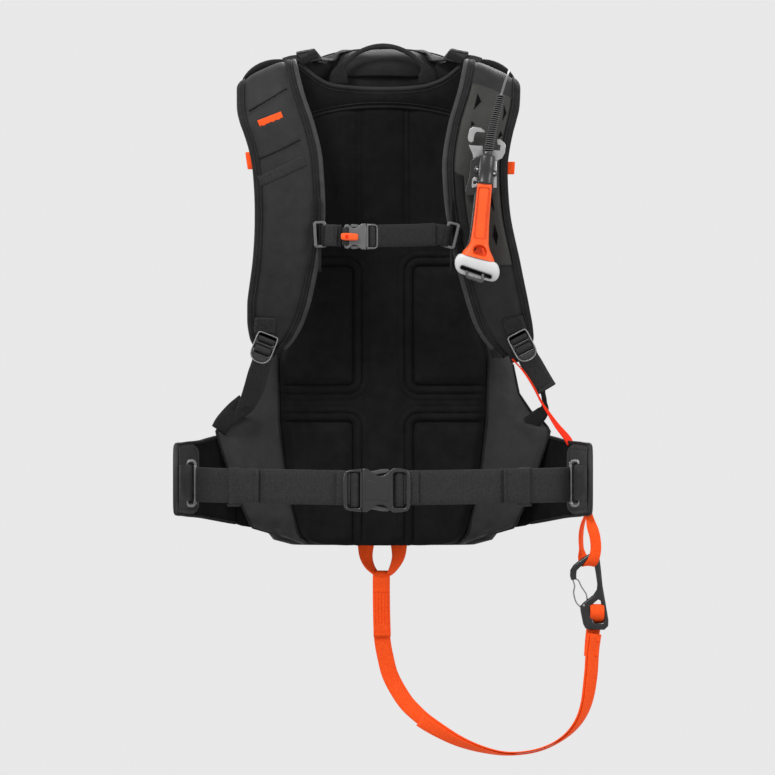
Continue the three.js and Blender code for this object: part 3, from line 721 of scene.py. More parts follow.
def make_front_pocket():
    middle = (POCKET["high"] + POCKET["low"]) / 2
    tall = (POCKET["high"] - POCKET["low"]) / 2
    rows = []
    count_x = 74
    count_z = 130
    for r in range(count_z):
        z = middle - tall + 2 * tall * r / (count_z - 1)
        row = []
        for c in range(count_x):
            x = -POCKET["half"] + 2 * POCKET["half"] * c / (count_x - 1)
            over_x = max(abs(x) - (POCKET["half"] - POCKET["corner"]), 0)
            over_z = max(abs(z - middle) - (tall - POCKET["corner"]), 0)
            reach = math.hypot(over_x, over_z)
            fx, fz = x, z
            if reach > POCKET["corner"]:
                pull = POCKET["corner"] / reach
                fx = math.copysign(abs(x) - over_x * (1 - pull), x)
                fz = middle + math.copysign(abs(z - middle) - over_z * (1 - pull), z - middle)
            inside = -rounded_distance(fx, fz, 0, middle, POCKET["half"], tall, POCKET["corner"])
            rise = POCKET["rise"] * smoothstep(-2, 16, inside)
            crease = 1.6 * math.exp(-((inside - 11) / 2.2) ** 2)
            cross_seam = 1.5 * math.exp(-((fz - 62) / 2.2) ** 2)
            side_seam = 1.2 * math.exp(-((abs(fx) - 70) / 2.0) ** 2) * smoothstep(66, 58, fz)
            seam = cross_seam + side_seam
            p = bag_at(fx, fz, rise)
            wrinkle = ripple(p, 60, 8.0) * 1.5 + ripple(p, 24, 3.0) * 0.7
            row.append(bag_at(fx, fz, rise - crease - seam + (wrinkle - 1) * smoothstep(4, 20, inside)))
        rows.append(row)
    pocket = sheet_grid("front_pocket_cover", rows, "strap_fabric", thickness=1.2 * MM)
    wear(pocket, "bag", "bag_fabric", "front_pocket")

    zip_path = [bag_at(x, z, POCKET["rise"] * 0.8 + 0.8) for x, z in pocket_outline(11)]
    teeth = stitches("pocket_zip_teeth", [zip_path], "moulded_plastic", 2.0 * MM, 1.3 * MM, 1.7 * MM)
    wear(teeth, "bag", "moulded_plastic")
    hems = [[bag_at(x, z, POCKET["rise"] * 0.9) for x, z in pocket_outline(inset)] for inset in (7, 15)]
    wear(stitches("pocket_stitching", hems), "bag", "webbing")

    run = [bag_at(60, z, POCKET["rise"] + 0.4) for z in range(-140, 130, 6)]
    garage = tube("slider_zip_run", run, 1.7 * MM, "moulded_plastic", 8)
    wear(garage, "bag", "moulded_plastic")


def make_ski_straps():
    """The far side's lashing: two ski loops on each flank and an orange axe loop."""
    for side in (-1, 1):
        for z, wide in ((120, 24), (-150, 30)):
            path = []
            for k in range(26):
                turn = -0.15 + 1.25 * k / 25
                angle = turn if side > 0 else math.pi - turn
                path.append(bag_surface(angle, z, 1.6 + 3.4 * math.sin(math.pi * k / 25)))
            tape = ribbon(f"ski_loop_{'right' if side > 0 else 'left'}_{'top' if z > 0 else 'low'}",
                          spline(path[::5] + [path[-1]], 48), wide * MM, 1.5 * MM, Z, "webbing")
            wear(tape, "bag", "webbing")
    axe = spline([bag_at(-30, -205, 2), bag_at(-40, -214, 9), bag_at(-30, -223, 12), bag_at(-18, -214, 9),
                  bag_at(-28, -205, 3)], 40)
    wear(ribbon("axe_loop", axe, 10 * MM, 1.4 * MM, Y, "orange_webbing"), "bag", "orange_fabric")


# ---- Back panel ----
PANEL_WIDTH = [(-247, 70), (-243, 88), (-236, 95), (-185, 108), (-107, 117), (-34, 119), (20, 104), (150, 96),
               (226, 92), (247, 84)]
PAD_INNER_X = 24.5
PAD_BAND = 8.5
PAD_CORNER = 16
PAD_HALF = 100


def pad_distance(x, z):
    """The distance from the outer sewn line of the nearest pad; positive inside the pad."""
    side = abs(x)
    middle = -rounded_distance(side, z, PAD_INNER_X + PAD_HALF, -0.5, PAD_HALF, 76.5, PAD_CORNER)
    low = -rounded_distance(side, z, PAD_INNER_X + PAD_HALF, -99 - PAD_HALF, PAD_HALF, PAD_HALF, PAD_CORNER)
    return max(middle, low)


def panel_height(x, z):
    """How far the back panel stands out towards the wearer, in millimetres."""
    inside = pad_distance(x, z)
    spine = 1.2 * (1 - smoothstep(16, 24, abs(x)))
    if z > 84:
        channel = math.exp(-((abs(x) - 24) / 1.6) ** 2) + math.exp(-((abs(x) - 30) / 1.6) ** 2)
        puff = smoothstep(31, 46, abs(x)) * 5.0
        return (2.0 + puff * smoothstep(84, 110, z)) - 1.6 * channel + spine
    height = 2.0 + spine
    height -= 1.6 * math.exp(-(inside / 1.5) ** 2)
    if 0 < inside < PAD_BAND:
        height += 2.6 * math.sin(math.pi * inside / PAD_BAND)
    height -= 3.0 * math.exp(-((inside - PAD_BAND - 0.8) / 1.7) ** 2)
    height += 4.6 * smoothstep(PAD_BAND, PAD_BAND + 13, inside)
    if -7.5 < inside < 0:
        height += 1.0 * math.sin(math.pi * -inside / 7.5)
    height -= 0.9 * math.exp(-((inside + 7.5) / 1.4) ** 2)
    return height


def panel_half_width(z):
    return interpolate(PANEL_WIDTH, z)


def panel_top(x):
    return 246 - 13 * (abs(x) / 88) ** 2.4


def panel_point(x, z, lift=0.0):
    edge = smoothstep(panel_half_width(z) - 0.5, panel_half_width(z) - 13, abs(x)) if abs(x) > 40 else 1.0
    ends = smoothstep(-249, -238, z) * smoothstep(panel_top(x) + 1, panel_top(x) - 8, z)
    height = panel_height(x, z) * edge * ends - 6 * (1 - edge) + ripple(at(x, 0, z), 45, 1.0) * 0.35
    return at(x, -height - lift, z)


def make_back_panel():
    columns = 150
    rows = 290
    grid = []
    for r in range(rows):
        share = r / (rows - 1)
        row = []
        for c in range(columns):
            u = 2 * c / (columns - 1) - 1
            low_z = -247.5 + 3 * abs(u) ** 4
            guess = low_z + (246 - low_z) * share
            x = u * panel_half_width(guess)
            z = low_z + (panel_top(x) - low_z) * share
            row.append(panel_point(x, z))
        grid.append(row)
    panel = sheet_grid("back_panel_cover", grid, "back_foam", thickness=2.4 * MM)
    wear(panel, "bag", "back_foam", "back_panel")

    lines = []
    for side in (-1, 1):
        for channel in (23.8, 30.2):
            lines.append([panel_point(side * channel, z, 0.2) for z in range(88, 244, 3)])
        for inset in (0.0, -7.5):
            for low, high in ((-77, 76), (-260, -99)):
                inner = PAD_INNER_X + inset
                path = []
                top = high - inset
                path.extend((x, top) for x in range(112, int(inner + PAD_CORNER), -3))
                path.extend(
                    (inner + PAD_CORNER * (1 - math.sin(t)), top - PAD_CORNER * (1 - math.cos(t)))
                    for t in (k * math.pi / 16 for k in range(9))
                )
                bottom = low + inset if low > -250 else -246
                turn = PAD_CORNER if low > -250 else 0
                path.extend((inner, z) for z in range(int(top - PAD_CORNER) - 3, int(bottom + turn), -3))
                if turn:
                    path.extend(
                        (inner + PAD_CORNER * (1 - math.cos(t)), bottom + PAD_CORNER * (1 - math.sin(t)))
                        for t in (k * math.pi / 16 for k in range(9))
                    )
                    path.extend((x, bottom) for x in range(int(inner + PAD_CORNER) + 3, 112, 3))
                kept = [(x, z) for x, z in path if x < panel_half_width(z) - 3]
                lines.append([panel_point(side * x, z, 0.2) for x, z in kept])
    wear(stitches("back_panel_stitching", lines), "bag", "webbing")

    for side, name in SIDES:
        edge = [at(side * (panel_half_width(z) + 0.6), 3.0, z) for z in range(-240, 226, 6)]
        wear(tube(f"panel_edge_{name}", edge, 1.9 * MM, "binding", 8), "bag", "bag_fabric")


# ---- Yoke and lid ----
YOKE_TOP = [(-98, 296), (-88, 288), (-74, 277), (-58, 269.5), (-30, 266), (0, 265), (30, 266), (52, 269.5),
            (70, 277), (84, 288), (95, 296)]


def yoke_top(x):
    return interpolate(YOKE_TOP, x)


def yoke_bottom(x):
    return 246.5 - 15 * (abs(x) / 92) ** 2.2


def make_yoke():
    rows = []
    columns = 110
    for r in range(30):
        share = r / 29
        row = []
        for c in range(columns):
            x = -97 + 191 * c / (columns - 1)
            z = yoke_bottom(x) + (yoke_top(x) - yoke_bottom(x)) * share
            puff = 5.2 * math.sin(math.pi * min(max(share, 0.03), 0.97)) ** 0.7
            fold = ripple(at(x, 0, z * 0.35), 15, 4.0) * 1.1 * math.sin(math.pi * share)
            middle = 1.4 * math.exp(-((x - 2) / 1.6) ** 2) * smoothstep(1, 0.3, share)
            row.append(at(x, -3.2 - puff - fold + middle, z))
        rows.append(row)
    yoke = sheet_grid("yoke_cover", rows, "yoke_fabric", thickness=1.2 * MM)
    wear(yoke, "bag", "bag_fabric", "yoke")
    top = spline([at(x, -4.5, z + 0.4) for x, z in YOKE_TOP], 80)
    wear(tube("yoke_top_binding", top, 2.7 * MM, "strap_fabric", 10), "bag", "bag_fabric")
    low = [at(x, -4.2, yoke_bottom(x) - 0.4) for x in range(-92, 93, 4)]
    wear(tube("yoke_low_binding", low, 1.9 * MM, "binding", 10), "bag", "bag_fabric")
    hem = [[p + at(0, -3.9, -4.6) for p in top], [p + at(0, -3.6, 4.2) for p in low]]
    wear(stitches("yoke_stitching", hem), "bag", "webbing")


def make_gusset():
    """The dark cloth between the back panel's rim and the bag."""
    rings = []
    for y, grow in ((9, 0), (16, 1), (22, 3), (27, 4)):
        rings.append(superellipse(at(0, y, 12), X, Z, (105 + grow) * MM, (250 + grow) * MM, 6, 96))
    wear(loft("back_gusset", rings, "binding"), "bag", "bag_fabric")


LID_HALF_WIDTH = 86
LID_MIDDLE_Y = 69
LID_RISE = 33.5
LID_POWER = 2.6


def make_lid():
    rings = []
    rows = 26
    for i in range(rows):
        t = i / (rows - 1)
        z = 281 + LID_RISE * t**0.82
        shrink = max(1 - t**2.6, 0.02) ** 0.5
        centre = at(0, LID_MIDDLE_Y, z)
        deep = 50.5 * shrink + 1
        ring = superellipse(centre, X, Y, LID_HALF_WIDTH * shrink * MM, deep * MM, LID_POWER, 90)
        rings.append([p + Z * ripple(p, 28, 6.0) * 0.9 * MM for p in ring])
    lid = loft("lid_cover", rings, "lid_fabric")
    wear(lid, "bag", "bag_fabric", "lid_pocket")
    loop = superellipse(at(0, 70, 291), X, Y, 84.5 * MM, 47.5 * MM, LID_POWER, 80)
    wear(tube("lid_piping", [*loop, loop[0]], 1.8 * MM, "binding", 8), "bag", "bag_fabric")
    crest = []
    for k in range(49):
        reach = math.sin(math.pi / 2 * (k / 24 - 1))
        t = max(1 - reach * reach, 0) ** (1 / LID_POWER)
        crest.append(at(LID_HALF_WIDTH * reach, LID_MIDDLE_Y, 281.6 + LID_RISE * t**0.82))
    wear(tube("lid_crest", crest, 1.4 * MM, "binding", 8), "bag", "bag_fabric")


# ---- Hip wings and fins ----
WING_INNER = [(-247, 84), (-243, 88), (-236, 94), (-185, 108), (-107, 117.5), (-34, 119.5)]
WING_OUTER = [
    (-247, 88), (-243, 98), (-236, 117), (-230, 138), (-227, 147), (-196, 161), (-157, 175), (-127, 185),
    (-118, 187),
    (-110, 181), (-98, 167), (-77, 153), (-38, 145),
]
FIN_STATIONS = [
    (167, -8.5, -223.5, -121), (176, -13, -222, -121.5), (188, -22, -219.5, -124), (197, -33, -217.5, -126.5),
    (205, -47, -215.5, -129), (213, -65, -214, -130), (220, -82, -213, -130.5), (226.5, -98, -211.5, -131.5),
    (229.5, -105, -210.5, -132.5),
]

FIN_ROOT = [(112, 15, -233, -124), (128, 11, -231, -122), (146, 3, -228, -121), (160, -4.5, -225.5, -121),
            (172, -11, -223.8, -121.5)]


def make_wing(side, name):
    rows = []
    for r in range(90):
        z = -246 + 209 * r / 89
        inner = interpolate(WING_INNER, z)
        outer = interpolate(WING_OUTER, z)
        row = []
        for c in range(34):
            u = c / 33
            x = inner + (outer - inner) * u
            belly = 8.5 * math.sin(math.pi * min(u * 1.05, 1)) * smoothstep(-244, -200, z)
            high = smoothstep(-118, -60, z)
            low = 1 - smoothstep(-232, -214, z)
            back = 14 * u**3 * high + 3 + 8 * u**2 * low - 6 * u * (1 - high) * (1 - low)
            lap = smoothstep(-240, -224, z) * (1 - smoothstep(-118, -98, z)) * smoothstep(0.4, 1, u)
            folds = ripple(at(x, 0, z * 0.8), 34, 3.0 + side) * 1.5 + low * 1.6 * math.sin(x * 0.32)
            row.append(at(side * x, back - belly - 22 * lap + folds * math.sin(math.pi * u), z))
        rows.append(row)
    wing = sheet_grid(f"wing_cover_{name}", rows, "stretch_fabric", thickness=1.6 * MM)
    wear(wing, "bag", "stretch_fabric", f"wing_{name}")
    seam = [rows[r][-1] + at(0, -1.0, 0) for r in range(4, 88, 2)]
    wear(tube(f"wing_seam_{name}", seam, 1.5 * MM, "binding", 8), "bag", "bag_fabric")


def fin_section(side, share):
    """Centre, outward direction, lowest and highest Z of the fin at a share of the way to its tip."""
    x, y, low, high = lerp_list(FIN_STATIONS, share)
    ahead = lerp_list(FIN_STATIONS, min(share + 0.03, 1))
    behind = lerp_list(FIN_STATIONS, max(share - 0.03, 0))
    along = Vector((side * (ahead[0] - behind[0]), ahead[1] - behind[1], 0)).normalized()
    inward = along.cross(Z) * side
    return at(side * x, y, 0), along, inward, low, high


def fin_point(side, share, height, lift):
    """A point on the fin's wearer side: height is from 0 at its lower edge to 1 at its upper edge."""
    centre, _, inward, low, high = fin_section(side, share)
    face = 4.0 * (1 - abs(2 * height - 1) ** 6) ** 0.5 if 0 < height < 1 else 0
    return centre + Z * (low + (high - low) * height) * MM + inward * (face + lift) * MM


def make_fin(side, name):
    rings = []
    steps = 48
    for i in range(steps + 1):
        share = i / steps
        centre, along, inward, low, high = fin_section(side, share)
        tip = 1 - smoothstep(0.93, 1.0, share) ** 2 * 0.45
        half = (high - low) / 2 * (1 - 0.05 * smoothstep(0.94, 1, share))
        middle = centre + Z * (low + high) / 2 * MM
        ring = superellipse(middle, Z, inward, half * MM, 4.0 * tip * MM, 5, 64)
        rings.append([p + inward * ripple(p, 26, 7.0) * 0.6 * MM for p in ring])
    fin = loft(f"hip_fin_cover_{name}", rings, "fin_fabric")
    wear(fin, "bag", "bag_fabric", f"hip_fin_{name}")

    root = []
    for x, y, low, high in FIN_ROOT:
        middle = at(side * x, y, (low + high) / 2)
        facing = Vector((-0.4 * side, -0.9, 0))
        root.append(superellipse(middle, Z, facing, (high - low) / 2 * MM, 3.6 * MM, 5, 40))
    wear(loft(f"hip_fin_root_{name}", root, "fin_fabric", subdivide=1), "bag", "bag_fabric")

    cap = []
    for i in range(9):
        share = 0.86 + 0.14 * i / 8
        centre, along, inward, low, high = fin_section(side, share)
        middle = centre + Z * (low + high) / 2 * MM + along * 1.2 * MM * (i == 8)
        half = (high - low) / 2 * (1 - 0.04 * smoothstep(0.94, 1, share)) + 0.7
        thick = 4.4 - 1.8 * smoothstep(0.95, 1, share)
        cap.append(superellipse(middle, Z, inward, half * MM, thick * MM, 5, 64))
    wear(loft(f"fin_tip_{name}", cap, "patch_fabric"), "bag", "bag_fabric")

    rows = []
    start = 0.58
    for c in range(30):
        u = c / 29
        row = []
        for r in range(40):
            v = r / 39
            over_u = max(0.5 - u, 0) / 0.5
            over_v = max(abs(v - 0.5) - 0.35, 0) / 0.15
            corner = max(math.hypot(over_u, over_v), 1)
            fu = 0.5 - (0.5 - u) / corner if u < 0.5 else u
            fv = 0.5 + math.copysign(0.35 + (abs(v - 0.5) - 0.35) / corner, v - 0.5) if over_v else v
            share = start + (1 - start) * fu
            row.append(fin_point(side, share, 0.015 + 0.97 * fv, 0.9))
        rows.append(row)
    patch = sheet_grid(f"end_patch_{name}", rows, "patch_fabric", thickness=1.4 * MM)
    wear(patch, "bag", "bag_fabric")
    border = [*rows[0], *[row[-1] for row in rows[1:]]]
    lower = [row[0] for row in rows]
    edge = [*lower[::-1], *border]
    _, _, inward, _, _ = fin_section(side, 0.8)
    wear(tube(f"patch_edge_{name}", edge, 0.9 * MM, "piping", 8), "bag", "bag_fabric")
    inner_line = []
    for c in range(0, 29):
        row = rows[max(29 - c, 3)]
        inner_line.append(row[3] + inward * 1.0 * MM)
    inner_line.extend(rows[3][r] + inward * 1.0 * MM for r in range(4, 36))
    inner_line.extend(rows[max(c, 3)][36] + inward * 1.0 * MM for c in range(3, 30))
    wear(stitches(f"patch_stitching_{name}", [inner_line]), "bag", "webbing")

    top_edge = [fin_point(side, k / 40, 0.985, 1.2) for k in range(41)]
    low_edge = [fin_point(side, k / 40, 0.015, 1.2) for k in range(41)]
    binding = [tube("edge", path, 1.9 * MM, "binding", 8) for path in (top_edge, low_edge)]
    wear(merge(f"fin_binding_{name}", binding), "bag", "bag_fabric")


# ---- Shoulder straps ----
STRAP_DEPTH = 9.5
STRAPS = {
    "left": [
        (-130, 12, 274, 58), (-131, -4, 289, 58), (-132, -26, 294.5, 62), (-131, -48, 286, 64),
        (-127, -66, 258, 70),
        (-119.5, -78, 225, 78), (-111, -84, 195, 76), (-107, -87.5, 168, 74), (-105, -90, 121, 74),
        (-109, -88.5, 74, 70),
        (-117, -76, 27, 67), (-122, -64.5, 0, 58), (-126, -56, -20, 43), (-127.5, -51, -33, 16),
    ],
    "right": [
        (126, 12, 274, 54), (125, -4, 289, 54), (124, -26, 294.5, 58), (123, -48, 286, 60),
        (119, -66, 258, 64),
        (112, -78, 225, 70), (106, -84, 195, 69), (104, -87.5, 168, 68), (107.5, -90, 121, 67),
        (117, -88.5, 74, 68),
        (128.5, -76, 27, 65), (136, -64.5, 0, 61), (142.5, -56, -20, 51), (142, -51, -33, 22),
    ],
}
STRAP_ROWS = 170


STRAP_SMOOTHING = 6


def strap_lines():
    """Each strap's middle line and its width at every row of that line."""
    built = {}
    for name, stations in STRAPS.items():
        keys = [at(x, y, z) for x, y, z, _ in stations]
        middle = spline(keys, STRAP_ROWS)
        table = list(zip(station_runs(middle, keys), [station[3] for station in stations]))
        widths = [interpolate(table, run) for run in runs_along(middle)]
        for _ in range(STRAP_SMOOTHING):
            inner = [(a + b + c) / 3 for a, b, c in zip(widths, widths[1:], widths[2:])]
            widths = [widths[0], *inner, widths[-1]]
        built[name] = (middle, widths)
    return built


STRAP_LINES = strap_lines()


def strap_axes(name, i):
    middle, widths = STRAP_LINES[name]
    tangent = tangent_at(middle, i)
    flat = Vector((0, tangent.y, tangent.z)).normalized()
    outward = flat.cross(X)
    return middle[i], outward, widths[i] / 2


def strap_crown(across, half):
    """Half the strap's thickness at a share across it, with the sewn grooves inside its bound edges."""
    edge = (1 - min(abs(across), 0.999) ** 7) ** 0.5
    inset = half * (1 - abs(across))
    groove = math.exp(-((inset - 9.5) / 1.5) ** 2)
    puff = 0.9 * smoothstep(10, 20, inset)
    return STRAP_DEPTH / 2 * edge + puff * edge - 1.3 * groove * edge - 0.6


SHOULDER_SLOPE = 0.44


def shoulder_drop(name, centre, across, half):
    """How far the strap's outer edge hangs below its inner edge, over the shoulder."""
    side = -1 if name == "left" else 1
    outer = (1 + side * across) / 2
    fade = smoothstep(212, 285, centre.z / MM) * (1 - 0.4 * smoothstep(-15, 12, centre.y / MM))
    return -SHOULDER_SLOPE * 2 * half * max(outer, 0) ** 1.2 * fade


def strap_surface(name, i, across, lift=0.0, face=1):
    centre, outward, half = strap_axes(name, i)
    thick = strap_crown(across, half)
    wave = 0.0
    if face > 0:
        p = centre + X * across * half * MM
        inset = half * (1 - abs(across))
        wave = (ripple(p, 38, 11.0) + ripple(p, 14, 12.0) * 0.35) * smoothstep(8, 14, inset)
    hung = Z * shoulder_drop(name, centre, across, half)
    return centre + (X * across * half + hung + outward * face * (thick + wave + lift)) * MM


def strap_front(name, x, z, lift=0.0):
    """The point on the strap's front at a given X and Z, in millimetres."""
    middle, _ = STRAP_LINES[name]
    wanted = z * MM
    for _ in range(3):
        i = min(range(STRAP_ROWS // 5, STRAP_ROWS), key=lambda k: abs(middle[k].z - wanted))
        centre, _, half = strap_axes(name, i)
        across = min(max((x * MM - centre.x) / (half * MM), -0.985), 0.985)
        drop = shoulder_drop(name, centre, across, half) * MM
        wanted = z * MM - drop
    p = strap_surface(name, i, across, lift)
    return Vector((p.x, p.y, p.z + wanted - centre.z))


def make_strap(name):
    side = -1 if name == "left" else 1
    rings = []
    count = 40
    for i in range(STRAP_ROWS):
        ring = []
        for face in (1, -1):
            for k in range(count):
                t = 1 - 2 * k / count
                across = math.sin(math.pi / 2 * t) if face > 0 else -math.sin(math.pi / 2 * t)
                ring.append(strap_surface(name, i, across, face=face))
        rings.append(ring)
    strap = loft(f"shoulder_strap_cover_{name}", rings, "strap_fabric")
    wear(strap, "bag", "bag_fabric", f"shoulder_strap_{name}")

    bindings = []
    seams = []
    for edge in (-1, 1):
        rows = []
        for i in range(4, STRAP_ROWS):
            _, _, half = strap_axes(name, i)
            reach = min(8.5 / half, 0.9)
            row = []
            for k in range(9):
                row.append(strap_surface(name, i, edge * (1 - reach * k / 8) * 0.999, 0.75))
            back = [strap_surface(name, i, edge * (1 - reach * k / 4) * 0.999, 0.75, -1)
                    for k in range(4, 0, -1)]
            rows.append([*back, *row])
        bindings.append(sheet_grid("binding", rows, "binding", thickness=0.9 * MM))
        for inset in (3.2, 7.0):
            line = []
            for i in range(6, STRAP_ROWS - 4):
                _, _, half = strap_axes(name, i)
                line.append(strap_surface(name, i, edge * (1 - inset / half), 1.35))
            seams.append(line)
    wear(merge(f"strap_binding_{name}", bindings), "bag", "bag_fabric")
    wear(stitches(f"strap_stitching_{name}", seams), "bag", "webbing")

    path = []
    for i in range(8, STRAP_ROWS - 3):
        centre, outward, half = strap_axes(name, i)
        path.append(centre - X * side * (half + 1.2) * MM + outward * 1.2 * MM)
    wear(tube(f"strap_piping_{name}", path, 3 * MM, "piping", 12), "bag", "bag_fabric")


def on_strap_line(name, spots, lift, count):
    """A smooth line over the strap's front through a few X and Z pairs."""
    flat = spline([at(x, 0, z) for x, z in spots], count)
    return [strap_front(name, p.x / MM, p.z / MM, lift) for p in flat]


def make_strap_details():
    folds = [[(-149, 236), (-128, 248), (-107, 261)], [(-140, 182), (-116, 192), (-92, 204)]]
    for number, spots in enumerate(folds):
        line = on_strap_line("left", spots, 0.2, 40)
        wear(tube(f"strap_fold_{number}", line, 1.0 * MM, "binding", 8), "bag", "bag_fabric")
        shifted = [(x, z - 3.5) for x, z in spots]
        thread = stitches(f"strap_fold_stitching_{number}", [on_strap_line("left", shifted, 0.2, 40)])
        wear(thread, "bag", "webbing")

    band = on_strap_line("left", [(-137, 158), (-112, 169), (-86.5, 181)], 0.9, 40)
    elastic = ribbon("elastic_band", band, 12 * MM, 1.2 * MM, Z, "webbing")
    wear(elastic, "bag", "webbing")

    tag = on_strap_line("left", [(-138, 221), (-125, 226), (-112, 231)], 0.75, 14)
    wear(ribbon("strap_blank_tag", tag, 8 * MM, 0.6 * MM, Z, "print_orange"), "bag", "orange_plastic")

    for name, x, tilt in (("left", -131, -0.05), ("right", 150, 0.32)):
        tape = []
        for k in range(10):
            z = 10 - k * 1.9
            tape.append(strap_front(name, x - (x > 0) * 6 + tilt * 16 * k / 9, z, 1.5))
        wear(ribbon(f"lock_tape_{name}", tape, 23 * MM, 1.8 * MM, X, "webbing"), "bag", "webbing")
        corners = ((0, -9, -1), (0, 9, -1), (7, 9, 0), (7, -9, 0))
        box = [tape[row] + at(across, -1.1, drop) for row, across, drop in corners]
        pairs = ((0, 1), (1, 2), (2, 3), (3, 0), (0, 2), (1, 3))
        lines = [even([box[a], box[b]], 9) for a, b in pairs]
        wear(stitches(f"lock_tape_stitching_{name}", lines), "bag", "webbing")


def build_soft():
    make_bag()
    make_front_pocket()
    make_ski_straps()
    make_back_panel()
    make_yoke()
    make_gusset()
    make_lid()
    for side, name in SIDES:
        make_wing(side, name)
        make_fin(side, name)
        make_strap(name)
    make_strap_details()


# ---- Leg strap: a free strap of webbing from the base to its carabiner ----
LEG_ROUTE = [
    (-2, 30, -301), (-1.6, 29, -325), (-1, 27, -353), (3, 23, -376), (9, 18, -397), (23, 8, -421),
    (36, 0, -435),
    (52, -10, -447), (84, -28, -464), (116, -46, -474), (144, -60, -477), (173, -73, -472), (197, -82, -460),
    (214, -87, -443), (224, -89.5, -421), (229, -90, -390), (231, -90, -362), (233.5, -90, -343),
]
LEG_WIDTH = 18.5
LEG_THICKNESS = 1.8
LEG_STEPS = 110


def leg_strap_side(path, i):
    """The strap faces forward at the bag, turns edge-on at the bottom, and half forward again."""
    share = i / (len(path) - 1)
    turn = math.radians(84) * smoothstep(0.2, 0.62, share) - math.radians(38) * smoothstep(0.7, 0.9, share)
    tangent = tangent_at(path, i)
    return Matrix.Rotation(turn, 3, tangent) @ tangent.cross(Y)


def make_leg_strap():
    path = curve(LEG_ROUTE, LEG_STEPS)
    sides = [leg_strap_side(path, i) for i in range(LEG_STEPS)]
    strap = ribbon("leg_strap_webbing", path, LEG_WIDTH * MM, LEG_THICKNESS * MM,
                   lambda share: sides[round(share * (LEG_STEPS - 1))].copy(), "orange_webbing")
    wear(strap, "bag", "orange_fabric", "leg_strap")

    first = LEG_STEPS * 34 // 100
    tail_path = []
    tail_sides = sides[first:]
    for i in range(first, LEG_STEPS):
        outward = sides[i].cross(tangent_at(path, i)).normalized()
        tail_path.append(path[i] - outward * 2.0 * MM - sides[i].normalized() * 1.8 * MM)
    tail = ribbon("leg_strap_tail", tail_path, 18 * MM, 1.5 * MM,
                  lambda share: tail_sides[round(share * (len(tail_sides) - 1))].copy(), "orange_webbing")
    wear(tail, "bag", "orange_fabric")

    front = curve([(-2, 33.5, -301), (-2, 34.4, -286), (-2, 30, -277.8), (-2, 25.4, -286), (-2, 26.6, -301),
                    (-1.7, 26.6, -325), (-1, 24.8, -349.5)], 60)
    def eye_width(share):
        return (19.5 - 2 * math.sin(math.pi * min(share * 3, 1))) * MM

    eye = ribbon("leg_strap_eye", front, eye_width, 1.8 * MM, X, "orange_webbing")
    wear(eye, "bag", "orange_fabric")
    hem = ribbon("leg_strap_hem", [at(-1.2, 24.2, -347), at(-1.1, 23.8, -349), at(-1, 24.6, -351.5)],
                 19.5 * MM, 2.6 * MM, X, "orange_webbing")
    wear(hem, "bag", "orange_fabric")
    rows = []
    for k in range(5):
        x = -2 + (k - 2) * 3.6
        rows.append(even([at(x, 25.4, -302), at(x + 0.4, 25.2, -325), at(x + 0.7, 24.5, -338)], 14))
    for z in (-301, -339):
        rows.append(even([at(-10, 25.2, z), at(6.5, 25.2, z)], 8))
    wear(stitches("leg_strap_stitching", rows, "orange_thread"), "bag", "orange_fabric")

    loop = curve([(-19.5, 30, -246), (-19.3, 30, -260), (-15.5, 30, -271), (-8, 30, -280), (-1, 30, -284),
                   (7, 30, -280.5), (13.5, 30, -271), (17.5, 30, -260), (18, 30, -246)], 60)

    def across(share):
        fold = abs(2 * share - 1)
        return X * (0.35 + 0.65 * fold) + Y * (1 - fold) * 0.9 + Z * (0.5 - share) * 0.3

    def wide(share):
        return (19.5 - 8 * (1 - abs(2 * share - 1)) ** 0.7) * MM

    yoke = ribbon("leg_strap_loop", loop, wide, 1.8 * MM, across, "orange_webbing")
    wear(yoke, "bag", "orange_fabric", "leg_strap_yoke")

    roll_spots = [(232, -88, -352), (233, -83.5, -341), (234.5, -83, -333), (236.5, -89, -328.5),
                  (237.3, -95.8, -324),
                  (237.4, -97.4, -317.5), (237.2, -93, -311.5), (236.6, -86.5, -312), (235.6, -82, -320),
                  (234, -80.5, -334), (232, -83.5, -350), (230.5, -87, -368)]
    roll = ribbon("leg_strap_roll", curve(roll_spots, 70), 15.6 * MM, 1.8 * MM,
                  lambda share: X - Y * 0.25 * abs(2 * share - 1), "orange_webbing")
    wear(roll, "bag", "orange_fabric")


# ---- Carabiner, hip loop and safety strap ----
CARABINER_Y = -90


